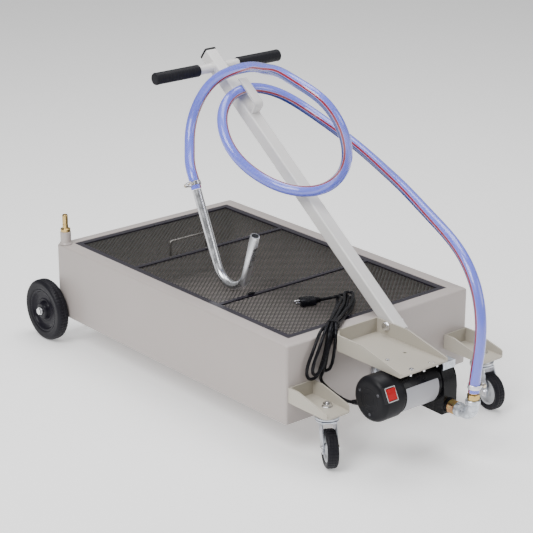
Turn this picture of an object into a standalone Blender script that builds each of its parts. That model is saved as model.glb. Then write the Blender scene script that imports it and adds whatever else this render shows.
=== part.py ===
"""Low-profile wheeled drain tank with pump, hose, J nozzle and fold-down handle.

Lengths are in millimetres in the tank frame: x runs from the wheel-end wall to the
pump-end wall, y from the near side to the far side and z up from the tank underside.
world() turns them into metres with the ground at Z = 0 and the part centred.
"""

import math

import bmesh
import bpy
import numpy as np
from mathutils import Vector

MM = 0.001
GAP = 0.3
FAR = 1000.0

# Tank
TANK_LENGTH = 886.0
TANK_WIDTH = 560.0
TANK_HEIGHT = 188.0
UNDERSIDE_HEIGHT = 72.0
SHEET = 2.5
FLOOR = 3.0
CORNER_RADIUS = 6.0
RIM_ROUND = 5.0
ROUND_STEPS = 3
OPENING = (25.0, 851.0, 35.0, 527.0)
LEDGE_TOP = 180.4
LEDGE_REACH = 12.0
END_WALL = TANK_LENGTH + GAP

# Grates
GRATE_LEVELS = (183.0, 186.5)
MESH_LEVELS = (180.7, 182.7)
MESH_BAR = 6.0
MAIN_FRAME_X = (268.0, 272.0, 583.9, 593.9, 834.2, 850.2)
SCREEN_FRAME_X = (25.8, 41.8, 260.4, 267.4)
FRAME_Y = (35.8, 51.8, 510.2, 526.2)
MAIN_MESH = (268.4, 847.5, 38.0, 524.0, 24, 3)
SCREEN_MESH = (28.5, 266.0, 38.0, 524.0, 10, 3)
BAIL_X = 263.9
BAIL_Y = (158.0, 269.0)
BAIL_TOP = 228.0
BAIL_BEND = 6.0
BAIL_WIRE = 2.5

# Vent
VENT_X = 17.0
VENT_Y = 16.0
VENT_BORE = 4.0
VENT_TOP = 265.0

# Fixed wheels
AXLE_X = -28.0
AXLE_Z = 7.0
AXLE_RADIUS = 7.0
AXLE_BORE = 7.3
AXLE_Y = (-40.0, 600.0)
AXLE_NUT = 6.0
REAR_WHEEL_Y = (-19.0, 579.0)
REAR_RADIUS = 79.0
REAR_HALF_WIDTH = 16.0
REAR_RIM = 55.0
AXLE_PLATE_Y = ((12.0, 18.0), (542.0, 548.0))

# Casters
CASTER_PLATE = (54.0, 58.0)
CASTER_BRACKET_X = (END_WALL, 1013.0)
CASTER_BRACKET_WIDTH = 73.0
CASTER_BRACKET_TOP = 90.0
CASTER_BRACKET_TIP = 68.0
CASTERS = {
    "near": {"king": (961.0, 53.0), "heading": -30.0, "bracket_y": 5.0},
    "far": {"king": (967.0, 533.0), "heading": -8.0, "bracket_y": 486.0},
}
CASTER_TRAIL = 33.0
CASTER_WHEEL_Z = -28.0
CASTER_RADIUS = 44.0
CASTER_HALF_WIDTH = 13.0
CASTER_RIM = 30.0
CROWN_TOP = 29.7
CROWN_THICKNESS = 3.0
CROWN_RADIUS = 26.0
FORK_HALF_WIDTH = 17.0
FORK_LEG = 2.8
KINGPIN_RADIUS = 6.0
BOLT_RADIUS = 5.0
BOLT_BORE = 5.3
BOLT_HEAD = 9.0

# Pump bracket
BRACKET_X = (END_WALL, 1111.0)
BRACKET_Y = (125.0, 268.0)
BRACKET_Z = (153.0, 190.0)
BRACKET_SHEET = 4.0
BRACKET_CHAMFER = 25.0
BRACKET_SLOPE_START = 990.0
BRACKET_TIP_HEIGHT = 163.0
BRACKET_HOLES = ((1021.0, 226.0), (1027.0, 167.5), (1098.0, 171.0))
BRACKET_HOLE_RADIUS = 4.0

# Handle
PIVOT = (922.0, 179.5)
HANDLE_LEAN = math.radians(37.0)
HANDLE_SIZE = 33.0
HANDLE_WALL = 2.5
HANDLE_CORNER = 4.0
HANDLE_Y = 286.5
HANDLE_SPAN = (-25.0, 827.0)
HANDLE_CAP = 8.0
CROSSBAR_AT = 785.0
CROSSBAR_RADIUS = 11.5
CROSSBAR_BORE = 11.8
CROSSBAR_Y = (100.0, 473.0)
GRIP_RADIUS = 14.5
GRIP_LENGTH = 130.0
GRIP_END = 3.2
HOOK_FOOT = ((621.0, 16.8), (625.0, 16.8))
HOOK_TIP = ((705.0, 45.0), (705.0, 49.0))
HOOK_BEND = (634.0, 36.0)
HOOK_RADII = (9.0, 13.0)
HOOK_Y = (275.0, 299.0)
PIVOT_HEAD_Y = 256.0
PIVOT_END_Y = 312.0

# Pump and motor
MOTOR_X = 1063.9
MOTOR_Z = 99.7
CAP_RADIUS = 52.0
CAP_Y = (80.0, 134.7)
HOUSING_Y = (135.0, 254.7)
HOUSING_RADIUS = 48.0
HOUSING_WALL = 4.0
STATOR_Y = (150.0, 240.0)
STATOR_BORE = 30.0
SHAFT_RADIUS = 6.0
SHAFT_BORE = 6.3
CORE_RADIUS = 27.0
ROTOR_RADIUS = 28.0
HEAD_Y = (255.0, 291.0)
HEAD_TOP_RADIUS = 51.0
CHAMBER_RADIUS = 30.0
CHAMBER_FLOOR_Y = 262.0
COVER_END_Y = 297.0
PORT_Y = 273.0
SUCTION_Z = 60.0
SUCTION_RADIUS = 13.5
SUCTION_BORE = 10.0
SUCTION_INSIDE_X = 872.0
OUTLET_Z = 50.6
ELBOW_X = 1185.0
BARB_Z = (88.3, 104.0)

# Switch
SWITCH_ANGLE = math.radians(27.0)
BEZEL_RADIAL = (45.0, 56.0)
BEZEL_HALF = 17.5
BEZEL_Y = (82.0, 114.0)
POCKET_FLOOR = 48.6
ROCKER_Y = (86.0, 110.0)
ROCKER_PIVOT = 54.0
ROCKER_OUTLINE = ((-3.0, -12.5), (1.0, -13.0), (4.2, -12.4), (3.2, 0.0), (4.2, 12.4), (1.0, 13.0), (-3.0, 12.5))
ROCKER_TILT = math.radians(-7.0)
POCKET_CLEARANCE = 1.2

# Transfer hose
HOSE_RADIUS = 12.6
HOSE_POINTS = 78
HOSE_START = (1187.0, 273.0, 105.6)
HOSE_ROUTE = (
    (1194, 274, 185), (1194, 278, 263), (1168, 287, 333), (1117, 301, 384), (1049, 319, 415),
    (975, 340, 434), (903, 362, 450), (832, 384, 464), (756, 406, 477), (683, 424, 491),
    (608, 436, 508), (534, 438, 529), (466, 423, 558), (416, 379, 594), (394, 309, 615),
    (405, 235, 606), (443, 181, 567), (495, 167, 511), (550, 192, 462), (612, 230, 434),
    (678, 260, 438), (743, 269, 477), (790, 256, 539), (803, 232, 609), (770, 207, 673),
    (701, 190, 706), (619, 202, 714), (546, 224, 704), (474, 248, 691), (400, 256, 669),
    (337.1, 243.4, 633.5), (305.5, 218.8, 578.1), (310.2, 188.1, 508.3), (331.5, 169.6, 475.3),
    (358.7, 149.7, 447.4), (383.4, 139.1, 424.7),
)
NOZZLE_TOP = (397.4, 138.1, 397.7)
NOZZLE_LEG = (0.414, 0.0, -0.910)
CLAMP_BORE = 13.1
CLAMP_BAND = 14.5
CLAMP_HALF = 6.5
CLAMP_SETBACK = 14.0
PUMP_CLAMP_TURN = math.radians(90.0)
NOZZLE_CLAMP_TURN = math.radians(0.0)

# Nozzle
NOZZLE_RADIUS = 11.0
NOZZLE_BORE = 9.0
NOZZLE_STRAIGHT = 186.5
NOZZLE_BEND = 57.5
NOZZLE_END_LENGTH = 108.7
NOZZLE_END_DIRECTION = (0.29, 0.0, 0.957)
BEND_STEPS = 12

# Power cord
CORD_RADIUS = 3.75
RELIEF_BASE = (1016.6, 99.5, 73.0)
RELIEF_TIP = (993.7, 98.8, 65.8)
RELIEF_RADII = (8.0, 7.4, 5.4)
LEAD_START = (993.2, 98.8, 65.6)
LEAD_ROUTE = ((976.0, 98.0, 62.6), (957.0, 97.2, 63.6), (935.0, 95.4, 68.0), (913.0, 92.6, 73.5), (900.0, 90.4, 82.0))
LEAD_END = (897.0, 90.0, 91.9)
HANK_HALF_THICKNESS = 8.0
HANK_RIM_X = 872.0
HANK_STATIONS = (
    (741.0, 307.0, 191.0, 8.0), (746.0, 302.5, 191.0, 15.5), (756.0, 293.0, 191.0, 21.0),
    (779.0, 270.0, 191.5, 23.0), (800.0, 248.0, 192.5, 22.0), (822.5, 217.0, 196.0, 19.0),
    (843.0, 189.5, 199.0, 17.0), (861.0, 163.0, 200.5, 16.0), (882.0, 133.5, 200.0, 18.0),
    (893.5, 119.5, 195.5, 16.0), (898.5, 112.0, 184.0, 15.5), (898.5, 107.0, 168.0, 17.0),
    (898.0, 100.0, 148.0, 23.0), (897.5, 93.0, 128.0, 30.0), (897.0, 88.0, 112.0, 35.0),
    (897.0, 86.5, 103.0, 32.0), (897.0, 87.0, 96.5, 22.0), (897.0, 88.0, 93.2, 10.0),
)
PLUG_TAIL = (737.0, 255.5, 193.0)
PLUG_NOSE = (714.0, 188.5, 193.0)
PLUG_SECTIONS = ((0.0, 4.2, 4.2), (2.0, 5.0, 5.0), (24.0, 7.5, 7.0), (30.0, 12.0, 8.6),
                 (38.0, 14.0, 9.4), (62.0, 14.0, 9.4), (70.0, 12.5, 8.8))
PRONG_REACH = 17.0
PRONGS = ((-6.3, 0.0, 0.8, 3.2), (6.3, 0.0, 0.8, 3.2), (0.0, 4.6, 2.3, 2.3))

ELBOW_COLLAR = 16.5
CENTRE_X = (AXLE_X - REAR_RADIUS + ELBOW_X + ELBOW_COLLAR) / 2.0
CENTRE_Y = TANK_WIDTH / 2.0

MATERIALS = {
    "tank_paint": ((0.52, 0.50, 0.47), 0.0, 0.45),
    "handle_paint": ((0.56, 0.54, 0.51), 0.0, 0.42),
    "grate_steel": ((0.10, 0.09, 0.11), 0.7, 0.5),
    "mesh_steel": ((0.16, 0.16, 0.13), 0.7, 0.55),
    "brass": ((0.72, 0.52, 0.22), 1.0, 0.3),
    "yellow_zinc": ((0.72, 0.50, 0.20), 1.0, 0.35),
    "galvanised": ((0.52, 0.54, 0.57), 1.0, 0.4),
    "zinc_plate": ((0.62, 0.65, 0.70), 1.0, 0.32),
    "bright_steel": ((0.75, 0.75, 0.76), 1.0, 0.2),
    "dark_hub": ((0.03, 0.03, 0.035), 0.0, 0.45),
    "grey_hub": ((0.45, 0.46, 0.47), 0.0, 0.5),
    "rubber": ((0.02, 0.02, 0.022), 0.0, 0.6),
    "black_plastic": ((0.025, 0.025, 0.03), 0.0, 0.35),
    "pump_black": ((0.03, 0.03, 0.035), 0.2, 0.4),
    "label_silver": ((0.55, 0.56, 0.58), 0.8, 0.35),
    "copper_winding": ((0.62, 0.28, 0.14), 1.0, 0.35),
    "grip_rubber": ((0.02, 0.02, 0.025), 0.0, 0.55),
    "hose_pvc": ((0.42, 0.47, 0.70), 0.0, 0.25),
    "cord_black": ((0.015, 0.015, 0.017), 0.0, 0.3),
    "switch_red": ((0.65, 0.02, 0.02), 0.0, 0.3),
}


def world(point):
    """World position in metres of a tank-frame point in millimetres."""
    return Vector((point[0] - CENTRE_X, point[1] - CENTRE_Y, point[2] + UNDERSIDE_HEIGHT)) * MM


def clear_scene():
    """Remove every object before building."""
    for existing in list(bpy.data.objects):
        bpy.data.objects.remove(existing, do_unlink=True)


def material(slot):
    """Principled material of a slot, made on first use."""
    found = bpy.data.materials.get(slot)
    if found:
        return found
    color, metallic, roughness = MATERIALS[slot]
    made = bpy.data.materials.new(slot)
    made.use_nodes = True
    shader = made.node_tree.nodes["Principled BSDF"]
    shader.inputs["Base Color"].default_value = (*color, 1.0)
    shader.inputs["Metallic"].default_value = metallic
    shader.inputs["Roughness"].default_value = roughness
    return made


def ring_faces(lower, upper):
    """Faces joining two vertex rings; a one-vertex ring is a pole."""
    count = max(len(lower), len(upper))
    faces = []
    for index in range(count):
        after = (index + 1) % count
        if len(lower) == 1:
            faces.append((lower[0], upper[after], upper[index]))
        elif len(upper) == 1:
            faces.append((lower[index], lower[after], upper[0]))
        else:
            faces.append((lower[index], lower[after], upper[after], upper[index]))
    return faces


def mesh_object(name, slot, points, faces, origin):
    """Closed mesh node from tank-frame points, with its origin at a tank-frame point."""
    mesh = bpy.data.meshes.new(name)
    base = world(origin)
    mesh.from_pydata([world(point) - base for point in points], [], faces)
    work = bmesh.new()
    work.from_mesh(mesh)
    bmesh.ops.recalc_face_normals(work, faces=work.faces)
    work.to_mesh(mesh)
    work.free()
    mesh.shade_smooth()
    mesh.set_sharp_from_angle(angle=math.radians(35.0))
    mesh.materials.append(material(slot))
    made = bpy.data.objects.new(name, mesh)
    made.location = base
    bpy.context.collection.objects.link(made)
    return made


def loft(name, slot, rings, origin=(0.0, 0.0, 0.0), closed=False):
    """Closed solid through rings of points; closed joins the last ring to the first."""
    points = []
    indices = []
    for ring in rings:
        indices.append(list(range(len(points), len(points) + len(ring))))
        points.extend(ring)
    faces = []
    for lower, upper in zip(indices, indices[1:]):
        faces.extend(ring_faces(lower, upper))
    if closed:
        faces.extend(ring_faces(indices[-1], indices[0]))
    else:
        for cap in (indices[0], indices[-1]):
            if len(cap) > 2:
                faces.append(tuple(cap))
    return mesh_object(name, slot, points, faces, origin)


def basis(direction, side=None):
    """Two unit vectors square to a direction, and the direction itself."""
    forward = Vector(direction).normalized()
    helper = Vector(side) if side else Vector((0.0, 0.0, 1.0))
    if abs(forward.dot(helper.normalized())) > 0.9:
        helper = Vector((0.0, 1.0, 0.0))
    first = helper.cross(forward).normalized()
    second = forward.cross(first)
    return first, second, forward


def turned(name, slot, profile, centre, direction, sides=32, origin=None, start_turn=0.0):
    """Solid of revolution; profile holds (radius, distance along the direction)."""
    first, second, forward = basis(direction)
    rings = []
    for radius, along in profile:
        middle = Vector(centre) + forward * along
        if radius == 0.0:
            rings.append([middle])
            continue
        ring = []
        for index in range(sides):
            turn = start_turn + 2.0 * math.pi * index / sides
            ring.append(middle + (first * math.cos(turn) + second * math.sin(turn)) * radius)
        rings.append(ring)
    bored = profile[0][0] > 0.0 and profile[-1][0] > 0.0
    return loft(name, slot, rings, origin or centre, closed=bored)


def prism(name, slot, outline, centre, axes, span, origin=None):
    """Outline in the plane of the first two axes, extruded along the third."""
    first, second, along = (Vector(axis) for axis in axes)
    rings = []
    for depth in span:
        rings.append([Vector(centre) + first * a + second * b + along * depth for a, b in outline])
    return loft(name, slot, rings, origin or centre)


PLAN = ((1, 0, 0), (0, 1, 0), (0, 0, 1))
SIDE = ((1, 0, 0), (0, 0, 1), (0, 1, 0))


def combine(target, tool, operation):
    """Exact boolean of a hidden tool object on a target."""
    tool.hide_render = True
    tool.hide_viewport = False
    tool.display_type = "WIRE"
    step = target.modifiers.new(tool.name, "BOOLEAN")
    step.operation = operation
    step.object = tool
    step.solver = "EXACT"


def cut(target, tool):
    """Take a tool's volume out of a target."""
    combine(target, tool, "DIFFERENCE")


def fuse(target, tool):
    """Add a tool's volume to a target."""
    combine(target, tool, "UNION")


def bore(target, label, centre, direction, radius, span, sides=24):
    """Round hole through a target along a direction."""
    profile = [(0.0, span[0]), (radius, span[0]), (radius, span[1]), (0.0, span[1])]
    cut(target, turned(label, target.data.materials[0].name, profile, centre, direction, sides))


def rounded_rect(x0, x1, y0, y1, radius, steps=ROUND_STEPS):
    """Corner-rounded rectangle outline."""
    corners = ((x1 - radius, y0 + radius, -90.0), (x1 - radius, y1 - radius, 0.0),
               (x0 + radius, y1 - radius, 90.0), (x0 + radius, y0 + radius, 180.0))
    outline = []
    for cx, cy, begin in corners:
        for step in range(steps + 1):
            turn = math.radians(begin + 90.0 * step / steps)
            outline.append((cx + radius * math.cos(turn), cy + radius * math.sin(turn)))
    return outline


def flat_ring(outline, z):
    """Outline lifted to a height."""
    return [(x, y, z) for x, y in outline]


def tank_rect(inset, radius):
    """Tank plan shrunk by an inset."""
    return rounded_rect(inset, TANK_LENGTH - inset, inset, TANK_WIDTH - inset, radius)


def opening_rect(grow, radius):
    """Rim opening plan grown by a distance."""
    x0, x1, y0, y1 = OPENING
    return rounded_rect(x0 - grow, x1 + grow, y0 - grow, y1 + grow, radius)


def tank_shell():
    """Sheet pan with rolled rim, lip and grate ledge, bored for the suction pipe and vent."""
    rings = [flat_ring(tank_rect(1.5, CORNER_RADIUS - 1.5), 0.0)]
    rings.append(flat_ring(tank_rect(0.0, CORNER_RADIUS), 1.5))
    for step in range(ROUND_STEPS + 1):
        turn = math.radians(90.0 * step / ROUND_STEPS)
        inset = RIM_ROUND * (1.0 - math.cos(turn))
        height = TANK_HEIGHT - RIM_ROUND * (1.0 - math.sin(turn))
        rings.append(flat_ring(tank_rect(inset, CORNER_RADIUS), height))
    rings.append(flat_ring(opening_rect(1.2, 2.4), TANK_HEIGHT))
    rings.append(flat_ring(opening_rect(0.0, 1.2), TANK_HEIGHT - 1.2))
    rings.append(flat_ring(opening_rect(0.0, 1.2), LEDGE_TOP))
    rings.append(flat_ring(opening_rect(-LEDGE_REACH, 1.2), LEDGE_TOP))
    rings.append(flat_ring(opening_rect(-LEDGE_REACH, 1.2), LEDGE_TOP - SHEET))
    rings.append(flat_ring(opening_rect(SHEET, 3.0), LEDGE_TOP - SHEET))
    rings.append(flat_ring(opening_rect(SHEET, 3.0), TANK_HEIGHT - SHEET))
    rings.append(flat_ring(tank_rect(SHEET, CORNER_RADIUS - SHEET), TANK_HEIGHT - SHEET))
    rings.append(flat_ring(tank_rect(SHEET, CORNER_RADIUS - SHEET), FLOOR))
    shell = loft("tank_shell", "tank_paint", rings)
    bore(shell, "suction_wall_hole", (TANK_LENGTH, PORT_Y, SUCTION_Z), (1, 0, 0),
         SUCTION_RADIUS + GAP, (-12.0, 12.0))
    bore(shell, "vent_wall_hole", (VENT_X, VENT_Y, TANK_HEIGHT), (0, 0, 1), VENT_BORE, (-12.0, 12.0))
    return shell


def cell_plate(name, slot, xs, ys, levels, is_open):
    """Flat plate of rectangular cells with the open ones left out."""
    points = [(x, y, z) for z in levels for x in xs for y in ys]
    layer = len(xs) * len(ys)

    def corner(column, row, level):
        return level * layer + column * len(ys) + row

    def filled(column, row):
        inside = 0 <= column < len(xs) - 1 and 0 <= row < len(ys) - 1
        return inside and not is_open(column, row)

    faces = []
    for column in range(len(xs) - 1):
        for row in range(len(ys) - 1):
            if not filled(column, row):
                continue
            loop = ((column, row), (column + 1, row), (column + 1, row + 1), (column, row + 1))
            sides = ((column, row - 1), (column + 1, row), (column, row + 1), (column - 1, row))
            faces.append(tuple(corner(c, r, 1) for c, r in loop))
            faces.append(tuple(corner(c, r, 0) for c, r in reversed(loop)))
            for index, side in enumerate(sides):
                if not filled(*side):
                    start = loop[index]
                    end = loop[(index + 1) % 4]
                    faces.append((corner(*start, 0), corner(*end, 0), corner(*end, 1), corner(*start, 1)))
    used = sorted({index for face in faces for index in face})
    renumber = {old: new for new, old in enumerate(used)}
    kept = [points[index] for index in used]
    return mesh_object(name, slot, kept, [[renumber[i] for i in face] for face in faces],
                       (xs[0], ys[0], levels[0]))


def grate_frame(name, xs):
    """Bar frame with a window in every odd column of the middle row."""
    return cell_plate(name, "grate_steel", xs, FRAME_Y, GRATE_LEVELS,
                      lambda column, row: column % 2 == 1 and row == 1)


def grate_mesh(name, field):
    """Coarse lattice that stands for the expanded mesh."""
    x0, x1, y0, y1, columns, rows = field
    xs = lattice_lines(x0, x1, columns)
    ys = lattice_lines(y0, y1, rows)
    return cell_plate(name, "mesh_steel", xs, ys, MESH_LEVELS,
                      lambda column, row: column % 2 == 1 and row % 2 == 1)


def lattice_lines(low, high, windows):
    """Edges of evenly spaced bars with a given number of windows between them."""
    pitch = (high - low - MESH_BAR) / windows
    lines = []
    for index in range(windows + 1):
        lines.append(low + index * pitch)
        lines.append(low + index * pitch + MESH_BAR)
    return lines


def tube(name, slot, points, radius, resolution, origin):
    """Round cord, hose or wire along points, with closed ends."""
    base = world(origin)
    curve = bpy.data.curves.new(name, "CURVE")
    curve.dimensions = "3D"
    curve.bevel_depth = radius * MM
    curve.bevel_resolution = resolution
    curve.use_fill_caps = True
    curve.twist_mode = "MINIMUM"
    spline = curve.splines.new("POLY")
    spline.points.add(len(points) - 1)
    for target, point in zip(spline.points, points):
        target.co = (*(world(point) - base), 1.0)
    spline.use_smooth = True
    curve.materials.append(material(slot))
    made = bpy.data.objects.new(name, curve)
    made.location = base
    bpy.context.collection.objects.link(made)
    return made


def smooth_route(knots, count, start_direction, end_direction):
    """Evenly spaced points and unit tangents on a clamped cubic spline through knots."""
    knots = np.array(knots, dtype=float)
    steps = np.linalg.norm(np.diff(knots, axis=0), axis=1)
    times = np.concatenate(([0.0], np.cumsum(steps)))
    size = len(knots)
    matrix = np.eye(size)
    slopes = np.zeros((size, 3))
    slopes[0] = np.array(start_direction) / np.linalg.norm(start_direction)
    slopes[-1] = np.array(end_direction) / np.linalg.norm(end_direction)
    for index in range(1, size - 1):
        before = steps[index - 1]
        after = steps[index]
        matrix[index, index - 1] = after
        matrix[index, index] = 2.0 * (before + after)
        matrix[index, index + 1] = before
        rise = after * (knots[index] - knots[index - 1]) / before
        rise += before * (knots[index + 1] - knots[index]) / after
        slopes[index] = 3.0 * rise
    slopes = np.linalg.solve(matrix, slopes)
    fine_times = np.linspace(0.0, times[-1], 4000)
    spans = np.clip(np.searchsorted(times, fine_times, side="right") - 1, 0, size - 2)
    width = steps[spans][:, None]
    s = (fine_times - times[spans])[:, None] / width
    fine = (2 * s**3 - 3 * s**2 + 1) * knots[spans] + (s**3 - 2 * s**2 + s) * width * slopes[spans]
    fine += (3 * s**2 - 2 * s**3) * knots[spans + 1] + (s**3 - s**2) * width * slopes[spans + 1]
    lengths = np.concatenate(([0.0], np.cumsum(np.linalg.norm(np.diff(fine, axis=0), axis=1))))
    wanted = np.linspace(0.0, lengths[-1], count)
    return np.column_stack([np.interp(wanted, lengths, fine[:, axis]) for axis in range(3)])


def lift_screen_parts():
    """Lift-out screen: bar frame, mesh and wire bail."""
    grate_frame("lift_screen_frame", SCREEN_FRAME_X)
    grate_mesh("lift_screen_mesh", SCREEN_MESH)
    foot = GRATE_LEVELS[1] + GAP
    points = [(BAIL_X, BAIL_Y[0], foot), (BAIL_X, BAIL_Y[0], foot + 12.0)]
    corners = ((BAIL_Y[0] + BAIL_BEND, 180.0), (BAIL_Y[1] - BAIL_BEND, 90.0))
    for corner_y, begin in corners:
        for step in range(6):
            turn = math.radians(begin - 18.0 * step)
            points.append((BAIL_X, corner_y + BAIL_BEND * math.cos(turn),
                           BAIL_TOP - BAIL_BEND + BAIL_BEND * math.sin(turn)))
    points.append((BAIL_X, BAIL_Y[1], foot + 12.0))
    points.append((BAIL_X, BAIL_Y[1], foot))
    tube("grate_bail", "grate_steel", points, BAIL_WIRE, 2, (BAIL_X, BAIL_Y[0], foot))


def main_grate_parts():
    """Fixed grate frame and its mesh."""
    grate_frame("main_grate_frame", MAIN_FRAME_X)
    grate_mesh("main_grate_mesh", MAIN_MESH)


def vent_parts():
    """Painted socket on the rim and the brass vent screwed into it."""
    low = TANK_HEIGHT + GAP
    boss = [(VENT_BORE, low), (16.0, low), (16.0, low + 2.0), (13.5, low + 5.0),
            (13.5, 220.0), (12.5, 221.0), (VENT_BORE, 221.0)]
    turned("vent_boss", "tank_paint", boss, (VENT_X, VENT_Y, 0.0), (0, 0, 1), 20)
    fitting = [(VENT_BORE, 221.3), (12.5, 221.3), (12.5, 228.0), (11.5, 229.0), (7.8, 229.0),
               (7.2, 231.0), (7.2, VENT_TOP - 0.8), (6.4, VENT_TOP), (VENT_BORE, VENT_TOP)]
    turned("vent_fitting", "brass", fitting, (VENT_X, VENT_Y, 0.0), (0, 0, 1), 20)


def axle_parts():
    """Rear axle, its two plates and its end nuts."""
    rod = [(0.0, AXLE_Y[0]), (AXLE_RADIUS, AXLE_Y[0]), (AXLE_RADIUS, AXLE_Y[1]), (0.0, AXLE_Y[1])]
    turned("rear_axle", "bright_steel", rod, (AXLE_X, 0.0, AXLE_Z), (0, 1, 0), 24)
    outline = ((-GAP, -12.0), (-GAP, 45.0), (-20.0, 45.0), (-48.0, 22.0), (-48.0, -4.0), (-40.0, -12.0))
    for side, span in zip(("near", "far"), AXLE_PLATE_Y):
        plate = prism("axle_bracket_" + side, "tank_paint", outline, (0, 0, 0), SIDE, span)
        bore(plate, "axle_hole_" + side, (AXLE_X, 0.0, AXLE_Z), (0, 1, 0), AXLE_BORE,
             (span[0] - 5.0, span[1] + 5.0))
    ends = {"near": (AXLE_Y[0] - GAP, -1.0), "far": (AXLE_Y[1] + GAP, 1.0)}
    for side, (start, way) in ends.items():
        nut = [(0.0, 0.0), (11.5, 0.0), (11.5, AXLE_NUT - 1.5), (9.5, AXLE_NUT), (0.0, AXLE_NUT)]
        turned("axle_nut_" + side, "bright_steel", nut, (AXLE_X, start, AXLE_Z), (0, way, 0), 6)


def rear_wheel(side, centre_y):
    """Tyre and dished hub of a fixed wheel."""
    centre = (AXLE_X, centre_y, AXLE_Z)
    outward = -1.0 if side == "near" else 1.0
    half = REAR_HALF_WIDTH
    tyre = [(REAR_RIM + GAP, -half + 2.0), (REAR_RADIUS - 9.0, -half), (REAR_RADIUS - 2.5, -half + 3.0),
            (REAR_RADIUS, -half + 8.0), (REAR_RADIUS, half - 8.0), (REAR_RADIUS - 2.5, half - 3.0),
            (REAR_RADIUS - 9.0, half), (REAR_RIM + GAP, half - 2.0)]
    turned("rear_tyre_" + side, "rubber", tyre, centre, (0, outward, 0), 40)
    hub = [(AXLE_BORE, -half + 1.0), (20.0, -half + 1.0), (22.0, -3.0), (45.0, -3.0), (50.0, -half + 3.0),
           (REAR_RIM, -half + 3.0), (REAR_RIM, half - 2.5), (50.0, half - 2.5), (44.0, 5.0), (24.0, 7.0),
           (21.0, 16.0), (16.5, 19.0), (AXLE_BORE, 19.0)]
    turned("rear_hub_" + side, "dark_hub", hub, centre, (0, outward, 0), 28)


def caster_bracket(side, low_y):
    """Pressed tray that carries a caster."""
    x0, x1 = CASTER_BRACKET_X
    high_y = low_y + CASTER_BRACKET_WIDTH
    sheet = BRACKET_SHEET
    plan = ((x0, low_y), (x1 - 12.0, low_y), (x1 - 3.5, low_y + 3.5), (x1, low_y + 12.0),
            (x1, high_y - 12.0), (x1 - 3.5, high_y - 3.5), (x1 - 12.0, high_y), (x0, high_y))
    tray = prism("caster_bracket_" + side, "tank_paint", plan, (0, 0, 0), PLAN,
                 (CASTER_PLATE[0], CASTER_BRACKET_TOP))
    pocket = ((x0 + sheet, low_y + sheet), (FAR + x1, low_y + sheet),
              (FAR + x1, high_y - sheet), (x0 + sheet, high_y - sheet))
    cut(tray, prism("caster_pocket_" + side, "tank_paint", pocket, (0, 0, 0), PLAN,
                    (CASTER_PLATE[1], FAR)))
    slope = ((x0 + 30.0, CASTER_BRACKET_TOP + 0.1), (x1 + 5.0, CASTER_BRACKET_TIP - 1.0),
             (x1 + 5.0, FAR), (x0 + 30.0, FAR))
    cut(tray, prism("caster_slope_" + side, "tank_paint", slope, (0, 0, 0), SIDE,
                    (low_y - 20.0, high_y + 20.0)))
    king_x, king_y = CASTERS[side]["king"]
    bore(tray, "king_hole_" + side, (king_x, king_y, 0.0), (0, 0, 1), KINGPIN_RADIUS + 0.6,
         (CASTER_PLATE[0] - 5.0, CASTER_PLATE[1] + 5.0))


def caster_kingpin(side):
    """Swaged pin with a button above the plate, a race below it and a button under the fork."""
    profile = [(0.0, 69.0), (5.5, 68.4), (6.3, 66.5), (11.0, 66.5), (11.5, 65.5), (11.5, 58.3),
               (KINGPIN_RADIUS + GAP, 58.3), (KINGPIN_RADIUS + GAP, 53.7), (25.0, 53.7), (27.5, 51.0),
               (27.5, 45.0), (24.5, 42.5), (24.5, 39.5), (27.0, 37.0), (27.0, 32.5), (24.0, 30.0),
               (KINGPIN_RADIUS, 30.0), (KINGPIN_RADIUS, 26.4), (10.0, 26.4), (10.0, 23.0), (0.0, 22.0)]
    turned("caster_kingpin_" + side, "zinc_plate", profile, (*CASTERS[side]["king"], 0.0), (0, 0, 1), 20)


def caster_axes(side):
    """Rolling direction, upward direction and axle direction of a caster."""
    heading = math.radians(CASTERS[side]["heading"])
    rolling = (math.cos(heading), math.sin(heading), 0.0)
    axle = (-math.sin(heading), math.cos(heading), 0.0)
    return rolling, (0.0, 0.0, 1.0), axle


def caster_fork(side):
    """Crown disc and two legs, bored for the kingpin and the wheel bolt."""
    axes = caster_axes(side)
    king = (*CASTERS[side]["king"], 0.0)
    outline = ((-25.0, CROWN_TOP), (-25.0, CROWN_TOP - 6.0), (-12.0, 12.0), (20.0, -30.0), (24.0, -37.0),
               (33.0, -41.0), (42.0, -37.0), (45.0, -28.0), (38.0, 2.0), (26.0, CROWN_TOP - 6.0),
               (25.0, CROWN_TOP))
    fork = prism("caster_fork_" + side, "zinc_plate", outline, king, axes,
                 (-FORK_HALF_WIDTH, FORK_HALF_WIDTH))
    inner = FORK_HALF_WIDTH - FORK_LEG
    under = CROWN_TOP - CROWN_THICKNESS
    slot_outline = ((-80.0, -80.0), (80.0, -80.0), (80.0, under), (-80.0, under))
    cut(fork, prism("fork_slot_" + side, "zinc_plate", slot_outline, king, axes, (-inner, inner)))
    disc = [(0.0, under - 1.0), (CROWN_RADIUS - 1.0, under - 1.0), (CROWN_RADIUS + 0.8, under + 0.5),
            (CROWN_RADIUS + 0.8, CROWN_TOP - 0.6), (CROWN_RADIUS, CROWN_TOP), (0.0, CROWN_TOP)]
    fuse(fork, turned("fork_crown_" + side, "zinc_plate", disc, king, (0, 0, 1), 24))
    bore(fork, "fork_king_hole_" + side, king, (0, 0, 1), KINGPIN_RADIUS + GAP, (10.0, 40.0))
    bore(fork, "fork_counterbore_" + side, king, (0, 0, 1), 11.0, (10.0, under))
    bore(fork, "fork_bolt_hole_" + side, caster_centre(side), axes[2], BOLT_BORE, (-30.0, 30.0))


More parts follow.
